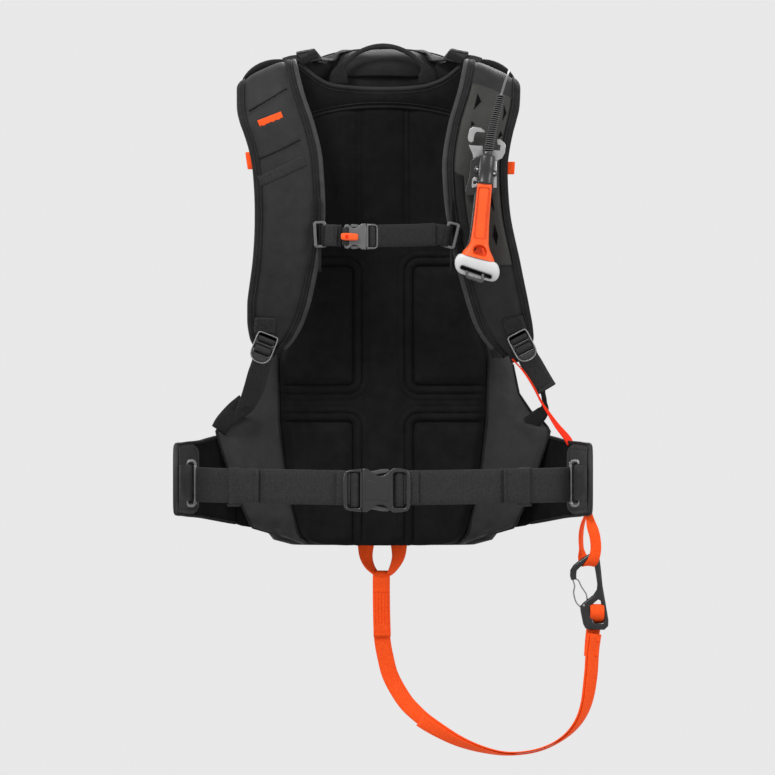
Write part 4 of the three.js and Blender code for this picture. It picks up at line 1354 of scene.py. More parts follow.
def make_carabiner():
    outside = [
        (208.6, -283.5), (207.3, -279), (207.6, -272.5), (211, -267), (217, -262), (224, -257), (230, -253.8),
        (234, -253.3), (237.6, -255.2), (240.2, -260), (241.5, -270), (243.5, -290), (247, -310), (250, -328),
        (249.7, -334.5), (245.5, -338.6), (228.5, -338.8), (224.2, -336.8), (221.8, -332), (219, -318),
        (218.4, -312.6),
    ]
    inside = [
        (221.5, -309), (227, -304.5), (233, -300), (237, -294), (237.5, -288), (236, -277), (234.5, -268.5),
        (232.5, -264.2), (229, -262.6), (224.5, -264.8), (218.5, -269.2), (214.8, -273), (214.3, -278),
        (214.6, -282.5),
    ]
    slot = [(230.2, -312.2), (233, -309.6), (238.5, -305), (241.2, -306.2), (244.6, -327.5), (243.4, -330.4),
            (235.4, -330.6), (233.4, -328.8)]
    body = plate("carabiner_body", [*outside, *inside], CARABINER_Y - 4.4, CARABINER_Y + 4.4, "dark_metal",
                 [slot], 2.5)
    wear(body, "bag", "dark_metal", "carabiner")
    pin_line = [at(222.6, CARABINER_Y + depth, -311.6) for depth in (-4.6, 4.6)]
    pin = tube("gate_pin", pin_line, 1.5 * MM, "bar_metal", 14)
    wear(pin, "bag", "bright_metal")

    wires = []
    left_wire = [(-2.2, 218.6, -313), (-2.4, 213.9, -307.5), (-2.4, 211.3, -297.5), (-2.4, 212.4, -290),
                 (-1.6, 210.6, -283.5)]
    right_wire = [(2.2, 226.3, -305.2), (2.4, 225.3, -299), (2.4, 220.2, -291), (2.4, 216.8, -284),
                  (1.6, 213.6, -282.4)]
    for wire in (left_wire, right_wire, [left_wire[-1], (0, 211.7, -282), right_wire[-1]]):
        line = spline([at(x, CARABINER_Y + y, z) for y, x, z in wire], 30)
        wires.append(tube("wire", line, 0.8 * MM, "bar_metal", 10))
    wear(merge("wire_gate", wires), "gate", "bright_metal", "carabiner_gate")


def make_hip_loops():
    spots = [(228, -93, -209), (230.5, -98, -221), (234.3, -101, -234), (235.6, -101.2, -248),
             (233.4, -99.4, -259.5),
             (229.4, -94, -266), (225.6, -87.5, -266.5), (222.2, -82, -260), (220.3, -80.5, -248),
             (219.8, -82, -235),
             (221.4, -86.5, -222), (226, -91, -209)]
    
    def loop_width(share):
        return (12.2 - 4.5 * smoothstep(0.16, 0.0, share) - 4.5 * smoothstep(0.8, 1.0, share)) * MM

    def loop_side(share):
        turn = smoothstep(0.5, 0.7, share)
        return X * (1 - 0.72 * turn) - Y * (0.25 - 0.9 * turn)

    loop = ribbon("hip_loop_webbing", curve(spots, 80), loop_width, 1.6 * MM, loop_side, "orange_webbing")
    wear(loop, "bag", "orange_fabric", "hip_loop")
    spots = [(144, -62, -38.5), (156.5, -66, -52.5), (167.5, -66, -69.5), (176.3, -62, -86),
             (185.5, -58, -100), (194, -57, -112.5), (205, -58, -126), (209, -59, -133)]
    path = curve(spots, 60)
    
    def strap_width(share):
        return (2.6 + 6.4 * smoothstep(0.45, 0.95, share)) * MM

    def strap_side(share):
        return Vector((0.25 + 0.9 * share, 1.2 - 0.8 * share, 0))

    strap = ribbon("safety_strap_webbing", path, strap_width, 1.2 * MM, strap_side, "red_webbing")
    wear(strap, "bag", "orange_fabric", "safety_strap")
    line = [p + Vector((0.9, -0.2, 0.6)) * MM for p in path]
    wear(stitches("safety_strap_stitching", [line], "orange_thread"), "bag", "orange_fabric")


# ---- Hip belt: webbing, keepers, bar loops and buckle ----
HIP_Z = -183
HIP_Y = -130
HIP_WEBBING = 38.5
HIP_START = {-1: -36, 1: 23}
HIP_STEPS = 120


def hip_index(share):
    return round(share * (HIP_STEPS - 1))


def hip_run(side, lift):
    """The hip webbing's line from the buckle out to the bar loop, moved forward by lift in millimetres."""
    spots = [(HIP_START[side], -130, -180.5), (side * 95, -124, -179.6), (side * 145, -113, -178.8),
             (side * 185, -98, -178.2), (side * 208, -81, -177.6)]
    return [at(x, y - lift, z) for x, y, z in spots]


def hip_line(side, lift):
    """The hip webbing's whole run as evenly spaced points."""
    return spline(hip_run(side, lift), HIP_STEPS)


def hip_band(name, side, first, last, lift, width, thickness=1.7):
    """A length of hip webbing between two shares of the run."""
    path = hip_line(side, lift)[hip_index(first):hip_index(last) + 1]
    return ribbon(name, path, width * MM, thickness * MM, Z, "webbing")


def make_hip_webbing(side, name):
    run = hip_band(f"hip_webbing_run_{name}", side, 0, 1, 0, HIP_WEBBING)
    fold_first, fold_last = (0.56, 0.99) if side < 0 else (0.575, 0.99)
    fold = hip_band(f"hip_webbing_fold_{name}", side, fold_first, fold_last, 2.6, HIP_WEBBING)
    whole = hip_line(side, 2.6)
    end = whole[hip_index(fold_first)]
    after = whole[hip_index(fold_first) + 2]
    hem = ribbon(f"hip_webbing_hem_{name}",
                 [end - Y * 0.4 * MM, end.lerp(after, 0.5) - Y * 1.1 * MM, after - Y * 0.3 * MM],
                 HIP_WEBBING * MM, 2.6 * MM, Z, "webbing")
    tail = hip_band(f"hip_webbing_tail_{name}", side, 0.0, 0.085, 3.0, HIP_WEBBING - 1, 1.5)
    rows = []
    for z in (-14, 14):
        line = [p + at(0, -4.1, z) for p in hip_run(side, 0)]
        rows.append(spline(line, HIP_STEPS)[hip_index(fold_first + 0.02):hip_index(fold_first + 0.05)])
    thread = stitches(f"hip_webbing_stitching_{name}", rows)
    pieces = [run, fold, hem, tail, thread]
    for piece in pieces:
        wear(piece, "bag", "webbing")
    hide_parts(f"hip_webbing_{name}")
    if side < 0:
        for piece in pieces:
            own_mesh(piece)

    low, high = (-172, -158) if side < 0 else (149, 164)
    middle = (low + high) / 2
    share = abs(middle) / 203
    y = interpolate([(0.5, -121), (0.72, -113), (0.92, -98)], share)
    lean = Matrix.Rotation(-side * 0.33, 3, "Z")
    sleeve = []
    for k in range(25):
        angle = 2 * math.pi * k / 24
        ring = lean @ Vector((0, 4.6 * math.copysign(abs(math.sin(angle)) ** 0.5, math.sin(angle)), 0))
        z = -180 + 20.8 * math.copysign(abs(math.cos(angle)) ** 0.4, math.cos(angle))
        sleeve.append(at(middle, y, z) + ring * MM)
    keeper = ribbon(f"hip_keeper_{name}", sleeve, (high - low) * MM, 1.3 * MM, lean @ X, "webbing")
    wear(keeper, "bag", "webbing", f"keeper_{name}")


def make_bar_loop(side, name):
    """A rounded bar ring on the hip fin, with the tape that holds its outer bar to the fin."""
    turn = -side * math.atan2(58, 25)
    place = at(side * 213.6, -84.5, -176)
    ring = []
    outline = rounded_rectangle(0, 0, 12.5, 49, 4.5, 6)
    for x, z in [*outline, outline[0]]:
        ring.append(place + Matrix.Rotation(turn * 0.62, 3, "Z") @ at(x, 0, z))
    smooth_ring = spline(ring, 90)
    bar = tube(f"bar_ring_{name}", smooth_ring, 2.35 * MM, "bar_metal", 12)
    wear(bar, "bag", "grey_plastic", f"bar_loop_{name}")

    spots = [(213, -82), (214.4, -90), (218, -94.6), (221, -99), (222.6, -104), (224.4, -110)]
    rows = spline([at(side * x, y, -175.5) for x, y in spots], 15)
    tape = ribbon(f"bar_tape_{name}", rows, 40 * MM, 1.8 * MM, Z, "patch_fabric")
    wear(tape, "bag", "webbing")
    lines = [even([rows[k] + at(0, -1.3, -18), rows[k] + at(0, -1.3, 18)], 14) for k in (6, 8)]
    wear(stitches(f"bar_tape_stitching_{name}", lines), "bag", "webbing")


def rounded_bar(name, low, high, look, bevel):
    """A box between two corners in millimetres, with rounded edges."""
    wide = high[0] - low[0]
    tall = high[2] - low[2]
    middle_x = (low[0] + high[0]) / 2
    middle_z = (low[2] + high[2]) / 2
    outline = rounded_rectangle(middle_x, middle_z, wide, tall, min(wide, tall) * 0.3)
    return plate(name, outline, low[1], high[1], look, bevel=bevel)


def above_and_below(half, middle):
    """An outline from its upper half, given as X and height above the middle."""
    return [(x, middle + z) for x, z in half] + [(x, middle - z) for x, z in reversed(half)]


def oval(centre, wide, high, count):
    """A closed loop round a centre, from its two half axes as vectors in metres."""
    angles = [2 * math.pi * k / count for k in range(count + 1)]
    return [centre + wide * math.cos(angle) + high * math.sin(angle) for angle in angles]


def make_hip_buckle():
    front = HIP_Y - 6.6
    back = HIP_Y + 6.6
    z0 = HIP_Z

    head_half = [(-44.4, 0.01), (-44, 12), (-42.8, 18.5), (-40, 21.6), (-34, 22.8), (-23.4, 23.8)]
    head_hole = rounded_rectangle(-31.8, z0, 14.6, 39, 2.6)
    head = plate("hip_plug_head", above_and_below(head_half, z0)[1:], HIP_Y - 5.4, HIP_Y + 5.4,
                 "moulded_plastic", [head_hole], 1.8)
    wear(head, "hip_plug", "moulded_plastic", "hip_buckle_plug")
    for sign, tag in ((1, "upper"), (-1, "lower")):
        prong_half = [(-24.4, 21.4), (-16, 20.6), (-9, 21.6), (-2, 23.2), (5.6, 23.3), (7.4, 21.5),
                      (6.4, 18.8), (-2, 18.2), (-12, 15), (-24.4, 14)]
        outline = [(x, z0 + sign * z) for x, z in prong_half]
        prong = plate(f"hip_prong_{tag}", outline, HIP_Y - 2.9, HIP_Y + 2.9, "mid_plastic", bevel=1.0)
        wear(prong, "hip_plug", "moulded_plastic")
    bar = rounded_bar("hip_plug_bar", (-33, HIP_Y - 2.5, z0 - 20), (-29, HIP_Y + 2.5, z0 + 20),
                      "moulded_plastic", 1.2)
    wear(bar, "hip_plug", "moulded_plastic")

    shell_half = [(-22.6, 23.9), (-17.6, 23.9), (-14, 21.5), (-9.6, 17.4), (-5, 15.9), (0, 16.2), (4.4, 18.6),
                  (8, 22), (11.4, 24.4),
                  (20, 24.2), (27, 22.4), (29.6, 18.6), (30.6, 10), (30.8, 0)]
    outline = above_and_below(shell_half, z0)
    hole = rounded_rectangle(18.4, z0, 14.4, 39, 2.6)
    for tag, low, high in (("front", front, front + 3.4), ("back", back - 3.4, back)):
        shell = plate(f"hip_socket_{tag}", outline, low, high, "moulded_plastic", [hole], 1.5)
        wear(shell, "bag", "moulded_plastic")
        if tag == "front":
            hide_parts("hip_buckle_socket")
    frame_half = [(9.6, 23), (20, 23), (26, 21.4), (28.6, 18), (29.6, 10), (29.8, 0)]
    frame_piece = plate("hip_socket_frame", above_and_below(frame_half, z0), front + 2.6, back - 2.6,
                        "moulded_plastic", [hole], 0.6)
    wear(frame_piece, "bag", "moulded_plastic")
    # A near-black fill between the socket's shells: painted shade inside the buckle.
    spine = rounded_bar("hip_socket_spine", (-21, front + 2.8, z0 - 12.5), (10, back - 2.8, z0 + 12.5),
                        "hollow_shade_black", 0.4)
    wear(spine, "bag", "moulded_plastic")
    bar = rounded_bar("hip_socket_bar", (16.4, HIP_Y - 2.5, z0 - 20), (20.4, HIP_Y + 2.5, z0 + 20),
                      "moulded_plastic", 1.2)
    wear(bar, "bag", "moulded_plastic")
    pad = plate("hip_socket_pad",
            [(-19, z0 - 12), (-8, z0 - 9.5), (6, z0 - 12.5), (6, z0 + 12.5), (-8, z0 + 9.5), (-19, z0 + 12)],
                front - 0.7, front + 1, "moulded_plastic", bevel=0.7)
    wear(pad, "bag", "moulded_plastic")

    for body, x, tag in (("hip_plug", -31, "plug"), ("bag", 18.4, "socket")):
        ring = oval(at(x, HIP_Y + 0.2, z0), at(4.9, 0, 0), at(0, 4.7, 0), 20)
        wrap = ribbon(f"hip_wrap_{tag}", ring, (HIP_WEBBING - 1) * MM, 1.4 * MM, Z, "webbing")
        wear(wrap, body, "webbing")


# ---- Chest strap: rails, sliders, webbing, buckle and whistle ----
CHEST_Y = -102
CHEST_Z = 97
CHEST_WEBBING = 25


def flat_wrap(name, x, y, z, radius_x, radius_y, width, look, thickness=1.3, lean=0.0):
    """Webbing wrapped round an upright bar, as a closed band."""
    ring = oval(at(x, y, z), at(radius_x, 0, 0), at(0, radius_y, 0), 20)
    return ribbon(name, ring, width * MM, thickness * MM, Z + X * lean, look)


def make_chest_slider(side, name):
    x = -69.5 if side < 0 else 75.5
    lean = -0.05 if side < 0 else 0.24
    rail_x = -70 if side < 0 else 76
    rail = [at(rail_x, -98.5, 58 + 82 * k / 12) for k in range(13)]
    wear(tube(f"rail_cord_{name}", rail, 1.6 * MM, "binding", 10), "bag", "webbing", f"chest_rail_{name}")

    turn = Matrix.Rotation(lean, 4, "Y")
    outline = rounded_rectangle(0, 0, 14.6, 29.5, 3.2)
    hole = rounded_rectangle(side * 0.6, 0, 9.4, 23.6, 2.4)
    ring = plate(f"slider_ring_{name}", outline, -1.9, 1.9, "grey_plastic", [hole], 1.2, turn,
                 at(x, -99.6, 98.5 if side > 0 else 99.5))
    wear(ring, "chest_strap", "grey_plastic", f"chest_slider_{name}")
    lip = rounded_rectangle(side * 5.6, 0, 3.4, 27, 1.4)
    fold = plate(f"slider_lip_{name}", lip, -2.2, 1.6, "grey_plastic", bevel=1.1, turn=turn,
                 move=at(x, -101.6, 98.5 if side > 0 else 99.5))
    wear(fold, "chest_strap", "grey_plastic")
    inner = x - side * 5.2
    wrap = flat_wrap(f"slider_wrap_{name}", inner, -99.8, CHEST_Z + 0.5, 3.6, 3.0, 23, "dark_webbing", 1.3,
                     lean)
    wear(wrap, "chest_strap", "webbing")


def make_chest_webbing():
    left = curve([(-64, -101.5, 98.8), (-55, -102.4, 98.4), (-46, -102, 98)], 16)
    band = ribbon("chest_run_left", left, (CHEST_WEBBING - 1) * MM, 1.7 * MM, Z, "chest_fabric")
    wear(band, "chest_strap", "webbing", "chest_webbing_left")
    folded = [p - Y * 1.8 * MM for p in left[:12]]
    fold = ribbon("chest_fold_left", folded, (CHEST_WEBBING - 1) * MM, 1.6 * MM, Z, "webbing")
    wear(fold, "chest_strap", "webbing")
    rows = [[left[k] + at(0, -2.9, -11), left[k] + at(0, -2.9, 11)] for k in (8, 10)]
    wear(stitches("chest_stitching_left", [even(row, 10) for row in rows]), "chest_strap", "webbing")

    run = curve([(-9, -102, 97.6), (5, -102.6, 97.8), (30, -103.4, 98.2), (50, -102.6, 99),
                 (71, -100.4, 100)], 60)
    under = ribbon("chest_run_right", run,
                   lambda share: (CHEST_WEBBING - 1 - 3.5 * smoothstep(0.84, 1, share)) * MM, 1.7 * MM,
                   lambda share: Z + X * 0.12 * share, "chest_fabric")
    folded = [p - Y * (1.9 + 1.3 * math.sin(math.pi * k / 47)) * MM for k, p in enumerate(run[2:50])]
    over = ribbon("chest_fold_right", folded, CHEST_WEBBING * MM, 1.7 * MM, lambda share: Z + X * 0.03,
                  "chest_fabric", crown=0.4 * MM)
    end = folded[-1]
    hem = ribbon("chest_hem_right", [end - at(4.2, 0.2, 0), end - at(1.6, 1.4, 0), end + at(0.4, -0.4, 0)],
                 CHEST_WEBBING * MM, 2.4 * MM,
                 Z + X * 0.03, "chest_fabric")
    rows = [[end + at(-5.4, -1.7, -11), end + at(-5.4, -1.7, 11)]]
    thread = stitches("chest_stitching_right", [even(row, 10) for row in rows])
    for piece in (under, over, hem, thread):
        wear(piece, "chest_strap", "webbing")
        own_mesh(piece)
    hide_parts("chest_webbing_right")


def make_chest_buckle():
    front = CHEST_Y - 4.7
    back = CHEST_Y + 4.7
    z0 = CHEST_Z

    head_half = [(-17.8, 14.2), (-9, 13.8), (-6.4, 12.4), (-5.2, 9), (-5, 0.01)]
    hole = rounded_rectangle(-12.2, z0, 9.6, 23.4, 2.0)
    head = plate("chest_plug_head", above_and_below(head_half, z0), front + 0.9, back - 0.9, "grey_plastic",
                 [hole], 1.5)
    wear(head, "chest_plug", "grey_plastic", "chest_buckle_plug")
    for sign, tag in ((1, "upper"), (-1, "lower")):
        prong_half = [(-17.4, 12.4), (-24, 12.2), (-29, 13.4), (-34, 13.8), (-36.4, 12.6), (-35, 10.4),
                      (-29, 9.6), (-24, 8.4), (-17.4, 8)]
        outline = [(x, z0 + sign * z) for x, z in prong_half]
        prong = plate(f"chest_prong_{tag}", outline, CHEST_Y - 2, CHEST_Y + 2, "grey_plastic", bevel=0.8)
        wear(prong, "chest_plug", "grey_plastic")
    wear(flat_wrap("chest_wrap_plug", -11.4, CHEST_Y, z0, 3.2, 3.6, 22.4, "webbing"), "chest_plug", "webbing")

    shell_half = [(-18.6, 14.4), (-23.4, 14.4), (-26, 12.6), (-29, 9.6), (-33, 9.2), (-36.2, 11.6),
                  (-38.4, 13.6), (-42, 13), (-43.6, 9.5), (-44, 0.01)]
    outline = above_and_below(shell_half, z0)
    slot = rounded_rectangle(-39.8, z0, 3.6, 20, 1.6)
    for tag, low, high in (("front", front, front + 2.7), ("back", back - 2.7, back)):
        shell = plate(f"chest_socket_{tag}", outline, low, high, "grey_plastic", [slot], 1.2)
        wear(shell, "chest_strap", "grey_plastic")
        if tag == "front":
            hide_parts("chest_buckle_socket")
    # A near-black fill between the socket's shells: painted shade inside the buckle.
    core = rounded_bar("chest_socket_core", (-43, front + 2, z0 - 7.4), (-19, back - 2, z0 + 7.4),
                       "hollow_shade_black", 0.3)
    wear(core, "chest_strap", "grey_plastic")
    wrap = flat_wrap("chest_wrap_socket", -41.4, CHEST_Y - 0.4, z0, 3.3, 5.4, 19.4, "webbing")
    wear(wrap, "chest_strap", "webbing")

    stations = [(-46.6, 2.6), (-45.6, 3.7), (-42, 4.2), (-34, 4.1), (-28.4, 3.9), (-27.4, 2.9)]
    rings = []
    for x, size in stations:
        middle = at(x, CHEST_Y - 6.6, z0 - 0.4 - (x + 37) * 0.04)
        rings.append(superellipse(middle, Z, Y, size * MM, 2.5 * MM, 3.2, 28))
    whistle = loft("whistle_body", rings, "orange_plastic", subdivide=1)
    wear(whistle, "chest_strap", "orange_plastic", "whistle")
    mouth = rounded_bar("whistle_window", (-41.6, CHEST_Y - 9.5, z0 - 2.3), (-38.2, CHEST_Y - 8.8, z0 + 1.7),
                        "red_webbing", 0.2)
    wear(mouth, "chest_strap", "orange_plastic")


# ---- Trigger: panel, bracket, mount, cable, grip and knob ----
TRIGGER_TOP = at(112.4, -115, 154.5)
TRIGGER_DOWN = Vector((-0.0914, 0, -0.9958))
TRIGGER_ACROSS = Vector((0.9958, 0, -0.0914))


def on_trigger(distance, across, forward):
    """A point given along the trigger's pull, across it and towards the viewer, in millimetres."""
    return TRIGGER_TOP + (TRIGGER_DOWN * distance + TRIGGER_ACROSS * across - Y * forward) * MM


PANEL_LOW = 65
PANEL_HIGH = 270.5
PANEL_BACK_Y = -30 * MM


def make_trigger_panel():
    middle, _ = STRAP_LINES["right"]
    in_front = [i for i in range(STRAP_ROWS) if middle[i].y < PANEL_BACK_Y]
    front_rows = [i for i in in_front if PANEL_LOW <= middle[i].z / MM <= PANEL_HIGH]
    rows = []
    rail = []
    for i in front_rows:
        _, _, half = strap_axes("right", i)
        low_part = smoothstep(168, 163, middle[i].z / MM)
        first = -1 + (9.5 + 10.5 * low_part) / half
        last = 1 - 9.5 / half
        rows.append([strap_surface("right", i, first + (last - first) * c / 24, 0.9) for c in range(25)])
        if low_part:
            rail.append(strap_surface("right", i, -1 + 14.5 / half, 0.9))
    panel = sheet_grid("trigger_panel_cover", rows, "panel_fabric", thickness=1.4 * MM)
    wear(panel, "bag", "panel_fabric", "trigger_panel")
    wear(ribbon("trigger_panel_rail", rail, 8.5 * MM, 1.6 * MM, X, "dark_webbing"), "bag", "webbing")
    shifts = ([row[0] + at(1.6, -1.0, 0) for row in rows], [row[-1] + at(-1.6, -1.0, 0) for row in rows],
              [p + at(0, -1.0, -1.8) for p in rows[0]], [p + at(0, -1.0, 1.8) for p in rows[-1]])
    wear(stitches("trigger_panel_stitching", shifts), "bag", "webbing")

    slots = [
        [(105.3, 254), (109, 245.4), (101, 237)], [(134.6, 241), (136.8, 232.7), (132.8, 224.8)],
        [(130.6, 213), (132.6, 208.6), (127.2, 205.6)], [(98.4, 224), (101.6, 220), (97.6, 219)],
        [(120.3, 146), (123.2, 125.7), (119, 134)], [(123.7, 110.4), (127.4, 98), (125.9, 88.2)],
        [(123.7, 110.4), (125.9, 88.2), (121.8, 98)],
    ]
    # Flat near-black triangles laid on the panel where its slots are: painted shade in the slots.
    cuts = []
    for spots in slots:
        points = [strap_front("right", x, z, 2.1) for x, z in spots]
        cuts.append(mesh_object("cut", points, [(0, 1, 2)], "hollow_shade_black"))
        cuts.append(tube("cut_rim", [*points, points[0]], 0.35 * MM, "binding", 6))
    wear(merge("trigger_panel_slot_shade", cuts), "bag", "panel_fabric")


def make_trigger_bracket():
    upright = [(108, 151), (125.9, 151), (125.9, 182), (120, 186), (108, 186)]
    left_hook = [(112.6, 212), (112.4, 214.4), (108.6, 217.4), (99.7, 218.7), (95.9, 216), (93.8, 207.2),
                 (94.6, 202.8), (97.5, 201.2),
                 (100.2, 202.4), (100.4, 205), (101.7, 210.9), (103.9, 212.9)]
    left_wing = [(94.9, 198.3), (110, 197.6), (110, 185), (99.7, 183.2), (99.3, 188.3), (96.3, 194.9)]
    right_hook = [(126.6, 199), (126.4, 204.6), (129.8, 204.8), (134.2, 201.2), (135.8, 197.9), (135.1, 190),
                  (131.9, 183.8), (127.1, 181.7),
                  (124.6, 176.2), (119, 176.2), (119, 186), (122.6, 192.2), (129.4, 192.6), (130, 198)]
    plates = [plate("bracket", outline, -99.8, -97.4, "bright_metal", bevel=0.5)
              for outline in (upright, left_hook, left_wing, right_hook)]
    wear(merge("trigger_bracket_plate", plates), "bag", "bright_metal", "trigger_bracket")

    base = [(92, 142.5), (91, 147.5), (95.6, 164), (96.6, 181), (103, 185.6), (123, 184.6), (124.6, 181),
            (124, 146.5), (119, 142.5)]
    wear(plate("trigger_base", base, -105.5, -100.4, "moulded_plastic", bevel=1.2), "bag", "moulded_plastic",
         "trigger_mount")
    lug = [(98.4, 150.6), (105.6, 152), (105.6, 162), (101.5, 163), (98.6, 160.4)]
    eye = rounded_rectangle(101.6, 156.6, 3.4, 3.4, 1.6)
    wear(plate("trigger_lug", lug, -108.5, -104.5, "bright_metal", [eye], bevel=0.5), "bag", "bright_metal")
    rim = [(121.4, 150.6), (125.2, 151), (126, 179.4), (122, 183)]
    wear(plate("trigger_rim", rim, -106.5, -103.5, "bright_metal", bevel=0.7), "bag", "bright_metal")
    for number, (x, z) in enumerate(((104.2, 170.9), (122.8, 166.1))):
        washer = tube(f"rivet_ring_{number}", [at(x, -106, z), at(x, -117.4, z), at(x, -118.2, z)],
                      lambda share: (3.6 - 0.6 * smoothstep(0.8, 1, share)) * MM, "mid_plastic", 28)
        wear(washer, "bag", "moulded_plastic")
        # A near-black disc in the rivet's hollow: painted shade.
        well = tube(f"rivet_well_{number}", [at(x, -118.1, z), at(x, -118.5, z)], 2.3 * MM, "hollow_shade_black", 24)
        wear(well, "bag", "moulded_plastic")
        pin = tube(f"rivet_pin_{number}", [at(x, -118, z), at(x, -118.8, z), at(x, -119.2, z)],
                   lambda share: (1.5 - 0.5 * smoothstep(0.6, 1, share)) * MM, "bright_metal", 24)
        wear(pin, "bag", "bright_metal")

    profile = [(-5.5, 5.1), (-4.6, 5.6), (-1.2, 5.8), (-0.6, 8.4), (0.6, 9.1), (15, 9.1), (27.5, 9),
               (28.2, 9.5), (30.2, 9.5), (31, 9)]
    collar = []
    for distance, radius in profile:
        middle = on_trigger(distance - 31, 0, 0)
        collar.append(superellipse(middle, TRIGGER_ACROSS, -Y, radius * MM, radius * 0.96 * MM, 2.3, 56))
    wear(loft("trigger_collar", collar, "moulded_plastic"), "bag", "moulded_plastic")


def make_trigger_cable():
    spots = [(115.9, -115, 186.5), (117.2, -115, 195.3), (118.7, -114.5, 202.7), (120.9, -113.5, 215),
             (123.6, -112, 227.4),
             (127.1, -110, 239.7), (130.6, -107.5, 253.2), (132.2, -104, 258.5), (135.3, -93, 268.5),
             (138.3, -80, 276.5), (140.3, -64, 282.6)]
    path = curve(spots, 200)
    sheath = tube("cable_sheath", path, 1.35 * MM, "grey_plastic", 12)
    wear(sheath, "bag", "moulded_plastic", "trigger_cable")

    boot = [p for p in path if p.z < 253.2 * MM]
    turns = 29
    helix = []
    normal = None
    count = turns * 16
    for k in range(count + 1):
        share = k / count
        spot = share * (len(boot) - 1)
        i = min(int(spot), len(boot) - 2)
        point = boot[i].lerp(boot[i + 1], spot - i)
        tangent = tangent_at(boot, i)
        if normal is None:
            normal = tangent.orthogonal()
        normal = (normal - tangent * normal.dot(tangent)).normalized()
        angle = 2 * math.pi * turns * share
        radius = 5.1 - 1.1 * share
        spoke = normal * math.cos(angle) + tangent.cross(normal) * math.sin(angle)
        helix.append(point + spoke * radius * MM)
    wear(tube("cable_coil", helix, 0.56 * MM, "coil_plastic", 7), "bag", "moulded_plastic")
    # The pull cable is inside the mount at rest and shows as the grip leaves it.
    pull_line = even([on_trigger(4, 0, 0), on_trigger(-34, 0, 0)], 12)
    pull = tube("pull_cable", pull_line, 1.4 * MM, "mid_plastic", 12)
    wear(pull, "trigger_handle", "moulded_plastic")
    # A near-black core inside the coil: painted shade within the coil and between its turns.
    core = tube("coil_core_shade", boot, lambda share: (3.7 - 0.9 * share) * MM, "hollow_shade_black", 20)
    wear(core, "bag", "moulded_plastic")


TRIGGER_SKEW = 0.16
GRIP_POWER = 3.6
KNOB_POWER = 4.2


def trigger_skew(distance, across):
    """The flared end and the knob sit askew on the grip."""
    return across * TRIGGER_SKEW * smoothstep(56, 80, distance)


def make_trigger_grip():
    stations = [(-0.5, 7.7, 7.2), (1, 8.1, 7.7), (8, 8.2, 7.9), (30, 8.5, 7.5), (48, 9, 7.3), (57, 9.7, 7.3),
                (66, 10.4, 7.6),
                (72, 12.8, 8.2), (76, 15.8, 8.5), (79.6, 17.9, 10.4), (82.4, 18.6, 11.6)]
    half_table = [(d, h) for d, h, _ in stations]
    depth_table = [(d, t) for d, _, t in stations]
    steps = 180
    around = 132
    rings = []
    for r in range(steps + 1):
        distance = -0.5 + 82.9 * r / steps
        spread = 1.8
        half = sum(interpolate(half_table, distance + k) for k in (-spread, 0, spread)) / 3
        depth = sum(interpolate(depth_table, distance + k) for k in (-spread, 0, spread)) / 3
        ring = []
        for c in range(around):
            angle = 2 * math.pi * c / around
            across = signed_power(math.cos(angle), GRIP_POWER) * half
            forward = signed_power(math.sin(angle), GRIP_POWER) * depth
            if forward > 0:
                recess = rounded_distance(across, distance, -0.3, 32, 6.2, 28, 1.8)
                forward -= 1.1 * smoothstep(0.3, -0.3, recess)
                scoop = math.hypot((across - 1.2) / 8.4, (distance - 74.8) / 7.8)
                forward -= 9.0 * smoothstep(1.0, 0.66, scoop) * smoothstep(79.6, 77.8, distance)
            ring.append(on_trigger(distance + trigger_skew(distance, across), across, forward))
        rings.append(ring)
    grip = loft("trigger_grip_shell", rings, "orange_plastic")
    wear(grip, "trigger_handle", "orange_plastic", "trigger_grip")

    spine = []
    for distance, reach, half in ((1, -4.3, 6.2), (20, -4.5, 6.2), (48, -5.2, 6.2), (57, -5.9, 6.2),
                                  (66, -6.7, 6.2), (72, -8.8, 6.4), (80, -12, 7)):
        lowered = distance + trigger_skew(distance, reach)
        middle = on_trigger(lowered, reach, -3.4)
        spine.append(superellipse(middle, TRIGGER_ACROSS, Y, half * MM, 5.6 * MM, 4, 32))
    line = []
    for u, v in rounded_rectangle(-0.3, 32, 13, 56.6, 2.2, 5):
        line.append(on_trigger(v, u, 7.35))
    # A deeper orange patch on the scoop's lower right: painted shadow inside the scoop.
    shade = [(2.6, 69.8), (5.2, 70.6), (8.2, 76.4), (8.6, 79.6), (5.6, 79.2), (4.2, 74)]
    corners = [on_trigger(v + trigger_skew(v, u), u, 7.6) for u, v in shade]
    wear(mesh_object("trigger_scoop_shade", corners, [(0, 1, 2, 3, 4, 5)], "orange_painted_shade"), "trigger_handle",
         "orange_plastic")
    # A deeper orange line round the recess: painted shade along the recess edge.
    wear(tube("trigger_recess_shade_line", [*line, line[0], line[1]], 0.42 * MM, "orange_painted_shade", 8),
         "trigger_handle", "orange_plastic")
    wear(loft("trigger_spine", spine, "moulded_plastic", subdivide=1), "trigger_handle", "orange_plastic")


